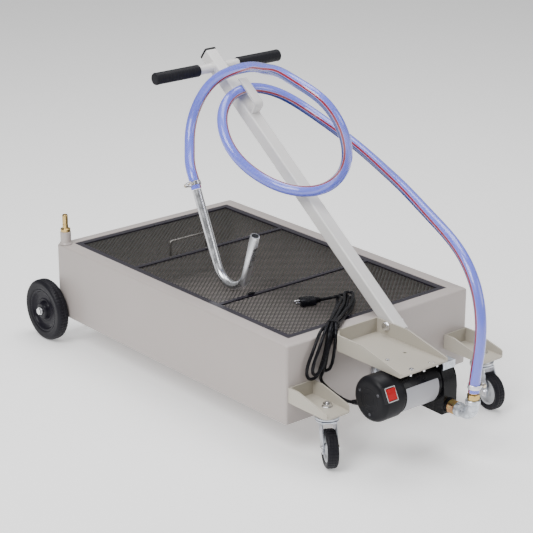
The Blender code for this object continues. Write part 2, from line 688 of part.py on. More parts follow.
def caster_centre(side):
    """Wheel centre of a caster."""
    rolling = caster_axes(side)[0]
    king_x, king_y = CASTERS[side]["king"]
    return (king_x + rolling[0] * CASTER_TRAIL, king_y + rolling[1] * CASTER_TRAIL, CASTER_WHEEL_Z)


def caster_wheel(side):
    """Bolt, tyre and hub of a caster."""
    centre = caster_centre(side)
    axle = caster_axes(side)[2]
    head = FORK_HALF_WIDTH + GAP
    bolt = [(0.0, -head - 4.0), (7.0, -head - 4.0), (BOLT_HEAD, -head - 2.5), (BOLT_HEAD, -head),
            (BOLT_RADIUS, -head), (BOLT_RADIUS, head), (BOLT_HEAD, head), (BOLT_HEAD, head + 2.5),
            (7.0, head + 4.0), (0.0, head + 4.0)]
    turned("caster_axle_bolt_" + side, "bright_steel", bolt, centre, axle, 12)
    half = CASTER_HALF_WIDTH
    tyre = [(CASTER_RIM + GAP, -half + 2.5), (CASTER_RADIUS - 6.0, -half), (CASTER_RADIUS - 1.5, -half + 3.0),
            (CASTER_RADIUS, -half + 8.0), (CASTER_RADIUS, half - 8.0), (CASTER_RADIUS - 1.5, half - 3.0),
            (CASTER_RADIUS - 6.0, half), (CASTER_RIM + GAP, half - 2.5)]
    turned("caster_tyre_" + side, "rubber", tyre, centre, axle, 32)
    hub = [(BOLT_BORE, -half), (12.0, -half), (12.0, -5.0), (26.0, -5.0), (27.0, -half + 2.5),
           (CASTER_RIM, -half + 2.5), (CASTER_RIM, half - 2.5), (27.0, half - 2.5), (26.0, 5.0),
           (12.0, 5.0), (12.0, half), (BOLT_BORE, half)]
    turned("caster_hub_" + side, "grey_hub", hub, centre, axle, 20)


def pump_bracket():
    """Pressed tray with a cut-back near corner, sloped flanges, pivot and screw holes."""
    x0, x1 = BRACKET_X
    y0, y1 = BRACKET_Y
    sheet = BRACKET_SHEET
    chamfer = BRACKET_CHAMFER
    plan = ((x0, y1), (x0, y0 + chamfer), (x0 + chamfer, y0), (x1, y0), (x1, y1))
    tray = prism("pump_bracket", "tank_paint", plan, (0, 0, 0), PLAN, BRACKET_Z)
    ease = sheet * math.tan(math.radians(22.5))
    pocket = ((x0 + sheet, y1 - sheet), (x0 + sheet, y0 + chamfer + ease), (x0 + chamfer + ease, y0 + sheet),
              (x1 + FAR, y0 + sheet), (x1 + FAR, y1 - sheet))
    cut(tray, prism("pump_bracket_pocket", "tank_paint", pocket, (0, 0, 0), PLAN,
                    (BRACKET_Z[0] + sheet, FAR)))
    slope = ((BRACKET_SLOPE_START, BRACKET_Z[1]), (x1 + 4.0, BRACKET_TIP_HEIGHT - 1.0),
             (x1 + 4.0, FAR), (BRACKET_SLOPE_START, FAR))
    cut(tray, prism("pump_bracket_slope", "tank_paint", slope, (0, 0, 0), SIDE, (y0 - 20.0, y1 + 20.0)))
    bore(tray, "pivot_hole", (PIVOT[0], y1, PIVOT[1]), (0, 1, 0), BOLT_BORE, (-10.0, 10.0))
    for index, (hole_x, hole_y) in enumerate(BRACKET_HOLES):
        bore(tray, "bracket_hole_%d" % index, (hole_x, hole_y, BRACKET_Z[0]), (0, 0, 1),
             BRACKET_HOLE_RADIUS, (-8.0, 12.0), 12)


HANDLE_AXES = ((-math.cos(HANDLE_LEAN), 0.0, math.sin(HANDLE_LEAN)),
               (math.sin(HANDLE_LEAN), 0.0, math.cos(HANDLE_LEAN)),
               (0.0, 1.0, 0.0))
PIVOT_POINT = (PIVOT[0], 0.0, PIVOT[1])


def handle_point(along, above, y):
    """Tank-frame point from distances along and square to the handle."""
    up, out, _ = (Vector(axis) for axis in HANDLE_AXES)
    return Vector((PIVOT[0], y, PIVOT[1])) + up * along + out * above


def handle_ring(along, half, radius):
    """Rounded square section of the handle at a distance along it."""
    outline = rounded_rect(-half, half, -half, half, radius)
    return [handle_point(along, a, HANDLE_Y + b) for a, b in outline]


def handle_parts():
    """Square tube, end cap, crossbar, grips and hose hook."""
    origin = handle_point(0.0, 0.0, HANDLE_Y)
    half = HANDLE_SIZE / 2.0
    inner = half - HANDLE_WALL
    rings = [handle_ring(HANDLE_SPAN[0], half, HANDLE_CORNER), handle_ring(HANDLE_SPAN[1], half, HANDLE_CORNER),
             handle_ring(HANDLE_SPAN[1], inner, 2.0), handle_ring(HANDLE_SPAN[0], inner, 2.0)]
    rail = loft("handle_tube", "handle_paint", rings, origin, closed=True)
    bore(rail, "handle_pivot_hole", origin, (0, 1, 0), BOLT_BORE, (-30.0, 30.0))
    bar_centre = handle_point(CROSSBAR_AT, 0.0, HANDLE_Y)
    bore(rail, "handle_crossbar_hole", bar_centre, (0, 1, 0), CROSSBAR_BORE, (-30.0, 30.0), 32)
    top = HANDLE_SPAN[1] + GAP
    cap_rings = [handle_ring(top, half, HANDLE_CORNER), handle_ring(top + HANDLE_CAP - 2.5, half, HANDLE_CORNER),
                 handle_ring(top + HANDLE_CAP, half - 3.0, HANDLE_CORNER)]
    loft("handle_end_cap", "black_plastic", cap_rings, origin)
    bar = handle_point(CROSSBAR_AT, 0.0, 0.0)
    rod = [(0.0, CROSSBAR_Y[0]), (CROSSBAR_RADIUS, CROSSBAR_Y[0]),
           (CROSSBAR_RADIUS, CROSSBAR_Y[1]), (0.0, CROSSBAR_Y[1])]
    turned("handle_crossbar", "handle_paint", rod, bar, (0, 1, 0), 28, origin)
    ends = {"near": (CROSSBAR_Y[0] - GAP - GRIP_END, 1.0), "far": (CROSSBAR_Y[1] + GAP + GRIP_END, -1.0)}
    for side, (outer_y, way) in ends.items():
        grip = [(0.0, 0.0), (12.5, 0.0), (GRIP_RADIUS, 2.0), (GRIP_RADIUS, GRIP_LENGTH - 1.5),
                (13.4, GRIP_LENGTH), (CROSSBAR_BORE, GRIP_LENGTH), (CROSSBAR_BORE, GRIP_END), (0.0, GRIP_END)]
        turned("grip_" + side, "grip_rubber", grip, handle_point(CROSSBAR_AT, 0.0, outer_y),
               (0, way, 0), 22, origin)
    prism("hose_hook", "handle_paint", hook_outline(), PIVOT_POINT, HANDLE_AXES, HOOK_Y, origin)


def hook_outline():
    """Bent strip: foot on the tube, round bend and upright tip."""
    inner = []
    outer = []
    for step in range(6):
        turn = math.radians(180.0 - 18.0 * step)
        for radius, side in zip(HOOK_RADII, (inner, outer)):
            side.append((HOOK_BEND[0] + radius * math.cos(turn), HOOK_BEND[1] + radius * math.sin(turn)))
    return (*HOOK_FOOT, *inner, *HOOK_TIP, *reversed(outer))


def pivot_parts():
    """Pivot bolt through the bracket flange and handle, with its nut."""
    flange = BRACKET_Y[1] - BRACKET_SHEET - GAP
    bolt = [(0.0, PIVOT_HEAD_Y), (8.0, PIVOT_HEAD_Y), (9.0, PIVOT_HEAD_Y + 1.5), (9.0, flange),
            (BOLT_RADIUS, flange), (BOLT_RADIUS, PIVOT_END_Y), (0.0, PIVOT_END_Y)]
    turned("pivot_bolt", "bright_steel", bolt, PIVOT_POINT, (0, 1, 0), 18)
    nut_y = HANDLE_Y + HANDLE_SIZE / 2.0 + GAP
    nut = [(BOLT_BORE, nut_y), (9.5, nut_y), (9.5, nut_y + 7.0), (BOLT_BORE, nut_y + 7.0)]
    turned("pivot_nut", "bright_steel", nut, PIVOT_POINT, (0, 1, 0), 12)


def motor_line(y):
    """Point on the motor axis."""
    return (MOTOR_X, y, MOTOR_Z)


def switch_axes():
    """Outward, sideways and axial directions at the switch."""
    outward = (math.cos(SWITCH_ANGLE), 0.0, math.sin(SWITCH_ANGLE))
    sideways = (-math.sin(SWITCH_ANGLE), 0.0, math.cos(SWITCH_ANGLE))
    return outward, sideways, (0.0, 1.0, 0.0)


def motor_end_cap():
    """Cup over the motor end with a shaft bearing and a pocketed switch bezel."""
    front, back = CAP_Y
    profile = [(0.0, front), (38.0, front), (44.0, front + 1.5), (49.5, front + 6.0), (CAP_RADIUS, front + 12.0),
               (CAP_RADIUS, back), (47.0, back), (47.0, front + 10.0), (12.0, front + 10.0),
               (12.0, front + 28.0), (SHAFT_BORE, front + 28.0), (SHAFT_BORE, front + 6.0), (0.0, front + 6.0)]
    cap = turned("motor_end_cap", "black_plastic", profile, motor_line(0.0), (0, 1, 0), 36)
    low, high = BEZEL_RADIAL
    bezel = ((low, -BEZEL_HALF), (high - 1.0, -BEZEL_HALF), (high, 1.0 - BEZEL_HALF),
             (high, BEZEL_HALF - 1.0), (high - 1.0, BEZEL_HALF), (low, BEZEL_HALF))
    fuse(cap, prism("switch_bezel", "black_plastic", bezel, motor_line(0.0), switch_axes(), BEZEL_Y))
    half = 13.0 + POCKET_CLEARANCE
    pocket = ((POCKET_FLOOR, -half), (FAR, -half), (FAR, half), (POCKET_FLOOR, half))
    cut(cap, prism("switch_pocket", "black_plastic", pocket, motor_line(0.0), switch_axes(),
                   (ROCKER_Y[0] - POCKET_CLEARANCE, ROCKER_Y[1] + POCKET_CLEARANCE)))
    inside = [(0.0, front + 10.0), (46.9, front + 10.0), (46.9, back + 5.0), (0.0, back + 5.0)]
    ring = turned("bezel_trim", "black_plastic", inside, motor_line(0.0), (0, 1, 0), 36)
    post = [(0.0, front), (12.0, front), (12.0, front + 28.0), (0.0, front + 28.0)]
    cut(ring, turned("bezel_trim_post", "black_plastic", post, motor_line(0.0), (0, 1, 0), 36))
    cut(cap, ring)


def switch_rocker():
    """Rocker tilted to its off position about its pivot."""
    outward, sideways, along = (Vector(axis) for axis in switch_axes())
    pivot = Vector(motor_line(0.0)) + outward * ROCKER_PIVOT
    cos_tilt = math.cos(ROCKER_TILT)
    sin_tilt = math.sin(ROCKER_TILT)
    outline = [(a * cos_tilt - b * sin_tilt, a * sin_tilt + b * cos_tilt) for a, b in ROCKER_OUTLINE]
    origin = pivot + along * (sum(ROCKER_Y) / 2.0)
    prism("switch_rocker", "switch_red", outline, pivot, (outward, sideways, along), ROCKER_Y, origin)


def motor_parts():
    """Housing sleeve, stator ring and the armature with its shaft and vane rotor."""
    inner = HOUSING_RADIUS - HOUSING_WALL
    sleeve = [(inner, HOUSING_Y[0]), (HOUSING_RADIUS, HOUSING_Y[0]),
              (HOUSING_RADIUS, HOUSING_Y[1]), (inner, HOUSING_Y[1])]
    turned("motor_housing", "label_silver", sleeve, motor_line(0.0), (0, 1, 0), 40)
    stator = [(STATOR_BORE, STATOR_Y[0]), (inner - GAP, STATOR_Y[0]),
              (inner - GAP, STATOR_Y[1]), (STATOR_BORE, STATOR_Y[1])]
    turned("motor_stator", "copper_winding", stator, motor_line(0.0), (0, 1, 0), 24)
    armature = [(0.0, 88.0), (SHAFT_RADIUS, 88.0), (SHAFT_RADIUS, 118.0), (14.0, 118.0), (14.0, 140.0),
                (SHAFT_RADIUS, 140.0), (SHAFT_RADIUS, 150.0), (CORE_RADIUS, 150.0), (CORE_RADIUS, 240.0),
                (SHAFT_RADIUS, 240.0), (SHAFT_RADIUS, CHAMBER_FLOOR_Y + GAP),
                (ROTOR_RADIUS, CHAMBER_FLOOR_Y + GAP), (ROTOR_RADIUS, HEAD_Y[1] - GAP),
                (0.0, HEAD_Y[1] - GAP)]
    turned("motor_armature", "galvanised", armature, motor_line(0.0), (0, 1, 0), 20)


def head_outline(radius, side, foot):
    """Pump head face: round top, square lower body and an optional bracket foot."""
    outline = [(-side, -radius * 0.1), (-side, -62.0), (-side + 8.0, -68.0), (side - 3.0, -69.5),
               (side + 1.5, -66.0), (side + 1.5, -10.0)]
    for step in range(13):
        turn = math.radians(15.0 * step)
        point = (radius * math.cos(turn), radius * math.sin(turn))
        if foot and 25.0 < math.degrees(turn) < 65.0:
            continue
        outline.append(point)
        if foot and step == 1:
            outline.append((42.0, 30.0))
            outline.append((42.0, foot))
            outline.append((20.5, foot))
    return outline


def pump_parts():
    """Pump head with its chamber and outlet boss, cover, mounting angle and suction pipe."""
    foot = BRACKET_Z[0] - 2.0 * GAP - 3.0 - MOTOR_Z
    head = prism("pump_head", "pump_black", head_outline(HEAD_TOP_RADIUS, 50.9, foot),
                 motor_line(0.0), SIDE, HEAD_Y)
    bore(head, "head_chamber", motor_line(0.0), (0, 1, 0), CHAMBER_RADIUS, (CHAMBER_FLOOR_Y, 320.0), 32)
    bore(head, "head_shaft_hole", motor_line(0.0), (0, 1, 0), SHAFT_BORE, (240.0, 280.0), 32)
    boss = [(0.0, 1105.0), (17.0, 1105.0), (17.0, 1120.0), (16.0, 1121.0), (0.0, 1121.0)]
    fuse(head, turned("outlet_boss", "pump_black", boss, (0.0, PORT_Y, OUTLET_Z), (1, 0, 0), 28))
    prism("pump_cover", "pump_black", head_outline(HEAD_TOP_RADIUS - 2.0, 48.5, 0.0),
          motor_line(0.0), SIDE, (HEAD_Y[1] + GAP, COVER_END_Y))
    top = BRACKET_Z[0] - GAP
    angle = ((1083.0, top), (1083.0, top - 3.0), (1108.0, top - 3.0), (1108.0, top - 17.0),
             (1111.0, top - 17.0), (1111.0, top))
    prism("pump_mount_angle", "galvanised", angle, (0, 0, 0), SIDE, (255.0, 292.0))
    head_face = MOTOR_X - 50.9 - GAP
    pipe = [(SUCTION_BORE, SUCTION_INSIDE_X), (SUCTION_RADIUS, SUCTION_INSIDE_X), (SUCTION_RADIUS, END_WALL),
            (20.0, END_WALL), (20.0, END_WALL + 10.0), (SUCTION_RADIUS, END_WALL + 10.0),
            (SUCTION_RADIUS, head_face - 12.0), (17.0, head_face - 12.0), (17.0, head_face),
            (SUCTION_BORE, head_face)]
    turned("suction_pipe", "galvanised", pipe, (0.0, PORT_Y, SUCTION_Z), (1, 0, 0), 18)


def swept_tube(name, slot, stations, bore_radius, sides=16):
    """Bored tube through (centre, tangent, radius) stations that lie in a plane of constant y."""
    rings = []
    inner = []
    for centre, tangent, radius in stations:
        forward = Vector(tangent).normalized()
        first = Vector((0.0, 1.0, 0.0))
        second = forward.cross(first)
        turns = [2.0 * math.pi * index / sides for index in range(sides)]
        rings.append([Vector(centre) + (first * math.cos(t) + second * math.sin(t)) * radius for t in turns])
        inner.append([Vector(centre) + (first * math.cos(t) + second * math.sin(t)) * bore_radius for t in turns])
    return loft(name, slot, rings + inner[::-1], stations[0][0], closed=True)


def outlet_parts():
    """Yellow hex bushing, galvanised elbow and brass hose barb."""
    bushing = [(8.0, 1121.3), (17.5, 1121.3), (17.5, 1139.0), (16.0, 1141.0), (8.0, 1141.0)]
    turned("outlet_bushing", "yellow_zinc", bushing, (0.0, PORT_Y, OUTLET_Z), (1, 0, 0), 6)
    bend = 21.0
    pipe = 13.4
    stations = [((1141.3, PORT_Y, OUTLET_Z), (1, 0, 0), ELBOW_COLLAR),
                ((1153.0, PORT_Y, OUTLET_Z), (1, 0, 0), ELBOW_COLLAR),
                ((1155.0, PORT_Y, OUTLET_Z), (1, 0, 0), pipe)]
    for step in range(7):
        turn = math.radians(15.0 * step)
        centre = (ELBOW_X - bend + bend * math.sin(turn), PORT_Y, OUTLET_Z + bend - bend * math.cos(turn))
        stations.append((centre, (math.cos(turn), 0.0, math.sin(turn)), pipe))
    stations.append(((ELBOW_X, PORT_Y, 75.0), (0, 0, 1), pipe))
    stations.append(((ELBOW_X, PORT_Y, 77.0), (0, 0, 1), ELBOW_COLLAR))
    stations.append(((ELBOW_X, PORT_Y, 88.0), (0, 0, 1), ELBOW_COLLAR))
    swept_tube("outlet_elbow", "galvanised", stations, 9.0)
    barb = [(6.0, BARB_Z[0]), (14.0, BARB_Z[0]), (14.0, BARB_Z[1] - 1.5), (12.5, BARB_Z[1]), (6.0, BARB_Z[1])]
    turned("hose_barb", "brass", barb, (ELBOW_X + 1.0, PORT_Y, 0.0), (0, 0, 1), 6)


def hose_clamp(name, end, inward, lug_turn):
    """Band clamp near a hose end, with its screw housing to one side."""
    first, second, forward = basis(Vector(inward) - Vector(end))
    centre = Vector(end) + forward * CLAMP_SETBACK
    sides = 36
    outer = []
    inner = []
    for step in range(sides):
        turn = 2.0 * math.pi * step / sides
        away = math.remainder(turn - lug_turn, 2.0 * math.pi)
        reach = CLAMP_BAND
        if abs(away) < math.radians(25.0):
            reach = (CLAMP_BAND + 6.0) / math.cos(away)
        spoke = first * math.cos(turn) + second * math.sin(turn)
        outer.append(spoke * reach)
        inner.append(spoke * CLAMP_BORE)
    rings = []
    for offsets, level in ((outer, -CLAMP_HALF), (outer, CLAMP_HALF), (inner, CLAMP_HALF), (inner, -CLAMP_HALF)):
        rings.append([centre + forward * level + offset for offset in offsets])
    loft(name, "bright_steel", rings, centre, closed=True)


def hose_parts():
    """Transfer hose from the barb through the handle hook to the nozzle, with both clamps."""
    leg = Vector(NOZZLE_LEG).normalized()
    end = Vector(NOZZLE_TOP) - leg * 1.2
    knots = [HOSE_START, *HOSE_ROUTE, tuple(end)]
    points = smooth_route(knots, HOSE_POINTS, (0.0, 0.0, 1.0), leg)
    tube("transfer_hose", "hose_pvc", points, HOSE_RADIUS, 3, HOSE_START)
    hose_clamp("hose_clamp_pump", points[0], points[1], PUMP_CLAMP_TURN)
    hose_clamp("hose_clamp_nozzle", points[-1], points[-2], NOZZLE_CLAMP_TURN)


def nozzle_pipe():
    """J-shaped pipe hanging from the hose: long leg, half-round bend and short leg."""
    leg = Vector(NOZZLE_LEG).normalized()
    rise = Vector(NOZZLE_END_DIRECTION).normalized()
    out = Vector((-leg.z, 0.0, leg.x))
    bend_start = Vector(NOZZLE_TOP) + leg * NOZZLE_STRAIGHT
    centre = bend_start + out * NOZZLE_BEND
    sweep = math.acos(leg.dot(rise))
    stations = [(Vector(NOZZLE_TOP), leg, NOZZLE_RADIUS), (Vector(NOZZLE_TOP) + leg * 90.0, leg, NOZZLE_RADIUS)]
    for step in range(BEND_STEPS + 1):
        turn = sweep * step / BEND_STEPS
        point = centre - out * NOZZLE_BEND * math.cos(turn) + leg * NOZZLE_BEND * math.sin(turn)
        tangent = leg * math.cos(turn) + out * math.sin(turn)
        stations.append((point, tangent, NOZZLE_RADIUS))
    last, heading, _ = stations[-1]
    stations.append((last + heading * (NOZZLE_END_LENGTH - 1.0), heading, NOZZLE_RADIUS))
    stations.append((last + heading * NOZZLE_END_LENGTH, heading, NOZZLE_RADIUS - 0.6))
    swept_tube("nozzle_pipe", "bright_steel", stations, NOZZLE_BORE, 28)


def cord_parts():
    """Strain relief, lead, tied hank and plug of the power cord."""
    base = Vector(RELIEF_BASE)
    run = Vector(RELIEF_TIP) - base
    length = run.length
    relief = [(0.0, 0.0), (RELIEF_RADII[0], 0.0), (RELIEF_RADII[1], 4.0), (RELIEF_RADII[2], length),
              (0.0, length)]
    turned("cord_strain_relief", "cord_black", relief, base, run, 16)
    knots = [LEAD_START, *LEAD_ROUTE, LEAD_END]
    lead = smooth_route(knots, 14, run, (0.0, 0.0, 1.0))
    tube("power_cord_lead", "cord_black", lead, CORD_RADIUS, 2, LEAD_START)
    cord_hank()
    power_plug()


def cord_hank():
    """Folded and tied cord as one body draped over the rim."""
    centres = [Vector(station[:3]) for station in HANK_STATIONS]
    rings = []
    for index, station in enumerate(HANK_STATIONS):
        before = centres[max(index - 1, 0)]
        after = centres[min(index + 1, len(centres) - 1)]
        forward = (after - before).normalized()
        on_rim = station[0] > HANK_RIM_X
        across = Vector((0.0, 1.0, 0.0)) if on_rim else Vector((0.81, 0.58, 0.0)).normalized()
        through = forward.cross(across).normalized()
        width = station[3]
        thick = min(HANK_HALF_THICKNESS, width * 0.8)
        ring = []
        for step in range(14):
            turn = 2.0 * math.pi * step / 14
            side = math.copysign(abs(math.cos(turn)) ** 0.7, math.cos(turn)) * width
            depth = math.copysign(abs(math.sin(turn)) ** 0.8, math.sin(turn)) * thick
            ring.append(centres[index] + across * side + through * depth)
        rings.append(ring)
    loft("power_cord_hank", "cord_black", rings, centres[0])


def power_plug():
    """Moulded three-prong plug lying on the mesh."""
    tail = Vector(PLUG_TAIL)
    forward = (Vector(PLUG_NOSE) - tail).normalized()
    across = Vector((0.0, 0.0, 1.0)).cross(forward).normalized()
    up = forward.cross(across)
    rings = []
    for along, half_width, half_height in PLUG_SECTIONS:
        ring = []
        for step in range(16):
            turn = 2.0 * math.pi * step / 16
            side = math.copysign(abs(math.cos(turn)) ** 0.6, math.cos(turn)) * half_width
            rise = math.copysign(abs(math.sin(turn)) ** 0.6, math.sin(turn)) * half_height
            ring.append(tail + forward * along + across * side + up * rise)
        rings.append(ring)
    plug = loft("power_plug", "cord_black", rings, tail)
    nose = PLUG_SECTIONS[-1][0]
    for index, (side, rise, half_width, half_height) in enumerate(PRONGS):
        outline = ((side - half_width, rise - half_height), (side + half_width, rise - half_height),
                   (side + half_width, rise + half_height), (side - half_width, rise + half_height))
        fuse(plug, prism("plug_prong_%d" % index, "cord_black", outline, tail, (across, up, forward),
                         (nose - 5.0, nose + PRONG_REACH)))


def build():
    """Build every node."""
    clear_scene()
    tank_shell()
    main_grate_parts()
    lift_screen_parts()
    vent_parts()
    axle_parts()
    for side, centre_y in zip(("near", "far"), REAR_WHEEL_Y):
        rear_wheel(side, centre_y)
    for side, caster in CASTERS.items():
        caster_bracket(side, caster["bracket_y"])
        caster_kingpin(side)
        caster_fork(side)
        caster_wheel(side)
    pump_bracket()
    pivot_parts()
    handle_parts()
    motor_end_cap()
    switch_rocker()
    motor_parts()
    pump_parts()
    outlet_parts()
    hose_parts()
    nozzle_pipe()
    cord_parts()


build()
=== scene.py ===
"""Looks for the wheeled drain tank: camera, light, cords, materials and detailed pieces.

Lengths in this file are millimetres in the tank frame (x along the tank from the fixed
wheels, y from the near side, z up from the tank underside) unless a name says otherwise.
"""

import math

import bmesh
import bpy
import numpy as np
from mathutils import Matrix, Vector

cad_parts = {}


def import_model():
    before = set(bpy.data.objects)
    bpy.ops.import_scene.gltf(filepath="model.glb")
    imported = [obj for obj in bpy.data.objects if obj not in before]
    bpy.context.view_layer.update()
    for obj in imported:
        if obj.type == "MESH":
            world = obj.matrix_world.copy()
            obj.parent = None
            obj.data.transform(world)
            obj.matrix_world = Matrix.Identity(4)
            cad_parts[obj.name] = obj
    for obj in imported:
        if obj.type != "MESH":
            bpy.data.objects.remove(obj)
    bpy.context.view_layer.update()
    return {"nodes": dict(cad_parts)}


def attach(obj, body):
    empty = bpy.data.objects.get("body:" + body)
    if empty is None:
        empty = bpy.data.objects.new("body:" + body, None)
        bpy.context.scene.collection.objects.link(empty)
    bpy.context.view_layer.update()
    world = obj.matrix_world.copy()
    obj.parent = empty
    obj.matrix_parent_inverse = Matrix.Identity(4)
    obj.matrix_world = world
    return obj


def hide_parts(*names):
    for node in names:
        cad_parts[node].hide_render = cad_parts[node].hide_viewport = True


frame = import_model()
NODES = frame["nodes"]

MM = 0.001
CENTRE_X = 547.25
CENTRE_Y = 280
UNDERSIDE = 72
ALONG = Vector((1, 0, 0))
SIDEWAYS = Vector((0, 1, 0))
UPWARD = Vector((0, 0, 1))
BEVEL_ANGLE = 40


def world(x, y, z):
    """Row-frame position in metres of a tank-frame point in millimetres."""
    return Vector((x - CENTRE_X, y - CENTRE_Y, z + UNDERSIDE)) * MM


def worlds(points):
    """Row-frame positions of several tank-frame points."""
    return [world(*point) for point in points]


# ---------------------------------------------------------------- camera and light

# The camera's right, up and backward directions, its place in metres and its lens.
VIEW_RIGHT = Vector((0.64314, 0.76575, 0.00042))
VIEW_UP = Vector((-0.26205, 0.21957, 0.93974))
VIEW_BACK = Vector((0.71951, -0.60450, 0.34188))
CAMERA_PLACE = (3.11425, -2.6686, 1.7768)
LENS = 123.6
SENSOR = 36
# Square area lights: name, place and target in metres, width in metres, power in watts.
LIGHTS = (
    ("key_light", (0.6, -2.6, 3.2), (0, 0, 0.3), 2.2, 150),
    ("fill_light", (3.4, 1.6, 2), (0.2, 0, 0.3), 1.8, 44),
    ("top_light", (-0.6, 0.6, 3.6), (0, 0, 0.2), 2.6, 110),
)
WHITE = (1, 1, 1, 1)
WORLD_STRENGTH = 0.30
FLOOR_COLOR = (0.93, 0.93, 0.93)
FLOOR_GLOW = 0.34
FLOOR_REACH = 40


def add_object(name, data):
    """New object in the scene."""
    made = bpy.data.objects.new(name, data)
    bpy.context.collection.objects.link(made)
    return made


def add_camera():
    """Camera above the near side of the pump end, looking along the tank."""
    data = bpy.data.cameras.new("camera")
    data.lens = LENS
    data.sensor_width = SENSOR
    camera = add_object("camera", data)
    turn = Matrix((VIEW_RIGHT, VIEW_UP, VIEW_BACK)).transposed().to_4x4()
    camera.matrix_world = Matrix.Translation(CAMERA_PLACE) @ turn
    bpy.context.scene.camera = camera


def add_studio():
    """Pale floor, white surroundings and soft area lights."""
    studio = bpy.data.worlds.new("studio")
    bpy.context.scene.world = studio
    studio.use_nodes = True
    background = studio.node_tree.nodes["Background"]
    background.inputs["Color"].default_value = WHITE
    background.inputs["Strength"].default_value = WORLD_STRENGTH
    for name, place, target, width, power in LIGHTS:
        data = bpy.data.lights.new(name, "AREA")
        data.shape = "SQUARE"
        data.size = width
        data.energy = power
        light = add_object(name, data)
        aim = Vector(target) - Vector(place)
        light.rotation_euler = aim.to_track_quat("-Z", "Y").to_euler()
        light.location = place
    reach = FLOOR_REACH
    corners = [(-reach, -reach, 0), (reach, -reach, 0), (reach, reach, 0), (-reach, reach, 0)]
    mesh = bpy.data.meshes.new("floor")
    mesh.from_pydata(corners, [], [(0, 1, 2, 3)])
    floor = add_object("floor", mesh)
    surface = Shader("floor_white", FLOOR_COLOR, 0, 0.75, Emission_Color=WHITE,
                     Emission_Strength=FLOOR_GLOW)
    mesh.materials.append(surface.material)


# ---------------------------------------------------------------- materials

# Sockets of a colour mix node: factor and both colours in, and the result.
MIX_INPUTS = (0, 6, 7)
MIX_RESULT = 2
EVEN = (1, 1, 1)


class Shader:
    """Principled material with short calls for its procedural nodes."""

    def __init__(self, name, color, metallic, roughness, **sockets):
        self.material = bpy.data.materials.new(name)
        self.material.use_nodes = True
        self.tree = self.material.node_tree
        self.bsdf = self.tree.nodes["Principled BSDF"]
        self.bsdf.inputs["Base Color"].default_value = (*color, 1)
        self.bsdf.inputs["Metallic"].default_value = metallic
        self.bsdf.inputs["Roughness"].default_value = roughness
        for socket, value in sockets.items():
            self.bsdf.inputs[socket.replace("_", " ")].default_value = value
        self.normal = None

    def node(self, kind, inputs, **settings):
        """New node with settings and inputs, which are values or output sockets."""
        made = self.tree.nodes.new(kind)
        for key, value in settings.items():
            setattr(made, key, value)
        for key, value in inputs.items():
            self.feed(made.inputs[key], value)
        return made

    def feed(self, socket, value):
        """Value or link into a socket."""
        if isinstance(value, bpy.types.NodeSocket):
            self.tree.links.new(value, socket)
        else:
            socket.default_value = value

    def place(self, stretch=EVEN):
        """Texture place in metres, stretched."""
        coords = self.node("ShaderNodeTexCoord", {}).outputs["Object"]
        return self.node("ShaderNodeMapping", {"Vector": coords, "Scale": stretch}).outputs[0]

    def noise(self, scale, detail=3, stretch=EVEN, roughness=0.55):
        """Noise value between 0 and 1."""
        inputs = {"Vector": self.place(stretch), "Scale": scale, "Detail": detail,
                  "Roughness": roughness}
        return self.node("ShaderNodeTexNoise", inputs).outputs["Fac"]

    def cells(self, scale):
        """Random colour of each Voronoi cell."""
        inputs = {"Vector": self.place(), "Scale": scale}
        return self.node("ShaderNodeTexVoronoi", inputs).outputs["Color"]

    def math(self, operation, first, second=0, third=0):
        """Math on values or sockets."""
        inputs = {0: first, 1: second, 2: third}
        return self.node("ShaderNodeMath", inputs, operation=operation).outputs[0]

    def ramp(self, value, low, high, out_low=0, out_high=1):
        """Smooth remap of a value."""
        inputs = {"Value": value, "From Min": low, "From Max": high, "To Min": out_low,
                  "To Max": out_high}
        return self.node("ShaderNodeMapRange", inputs, interpolation_type="SMOOTHSTEP").outputs[0]

    def mix(self, factor, first, second):
        """Colour mix; colours are triples or sockets."""
        ends = [(*value, 1) if isinstance(value, tuple) else value for value in (first, second)]
        inputs = dict(zip(MIX_INPUTS, (factor, *ends)))
        return self.node("ShaderNodeMix", inputs, data_type="RGBA").outputs[MIX_RESULT]

    def color(self, socket):
        """Link the base colour."""
        self.feed(self.bsdf.inputs["Base Color"], socket)

    def rough(self, socket):
        """Link the roughness."""
        self.feed(self.bsdf.inputs["Roughness"], socket)

    def bump(self, value, depth_mm, strength):
        """Bump layered on any earlier one."""
        inputs = {"Height": value, "Distance": depth_mm * MM, "Strength": strength}
        if self.normal:
            inputs["Normal"] = self.normal
        self.normal = self.node("ShaderNodeBump", inputs).outputs[0]
        self.feed(self.bsdf.inputs["Normal"], self.normal)


def shade(color, factor):
    """Colour made lighter or darker."""
    return tuple(min(1, part * factor) for part in color)


def paint(name, color, roughness=0.38):
    """Powder coat: soft tone drift, dark specks, patches of dust and fine orange peel."""
    made = Shader(name, color, 0, roughness, Coat_Weight=0.12, Coat_Roughness=0.25)
    drift = made.mix(made.noise(2.6, 4), shade(color, 0.955), shade(color, 1.035))
    speck = made.ramp(made.noise(420, 2), 0.62, 0.74)
    drift = made.mix(made.math("MULTIPLY", speck, 0.10), drift, shade(color, 0.72))
    dust = made.ramp(made.noise(14, 5), 0.52, 0.78, 0, 0.16)
    made.color(made.mix(dust, drift, shade(color, 0.90)))
    made.rough(made.ramp(made.noise(9, 4), 0.3, 0.75, roughness - 0.06, roughness + 0.10))
    made.bump(made.noise(620, 2), 0.05, 0.55)
    made.bump(made.noise(24, 2), 0.25, 0.25)
    return made.material


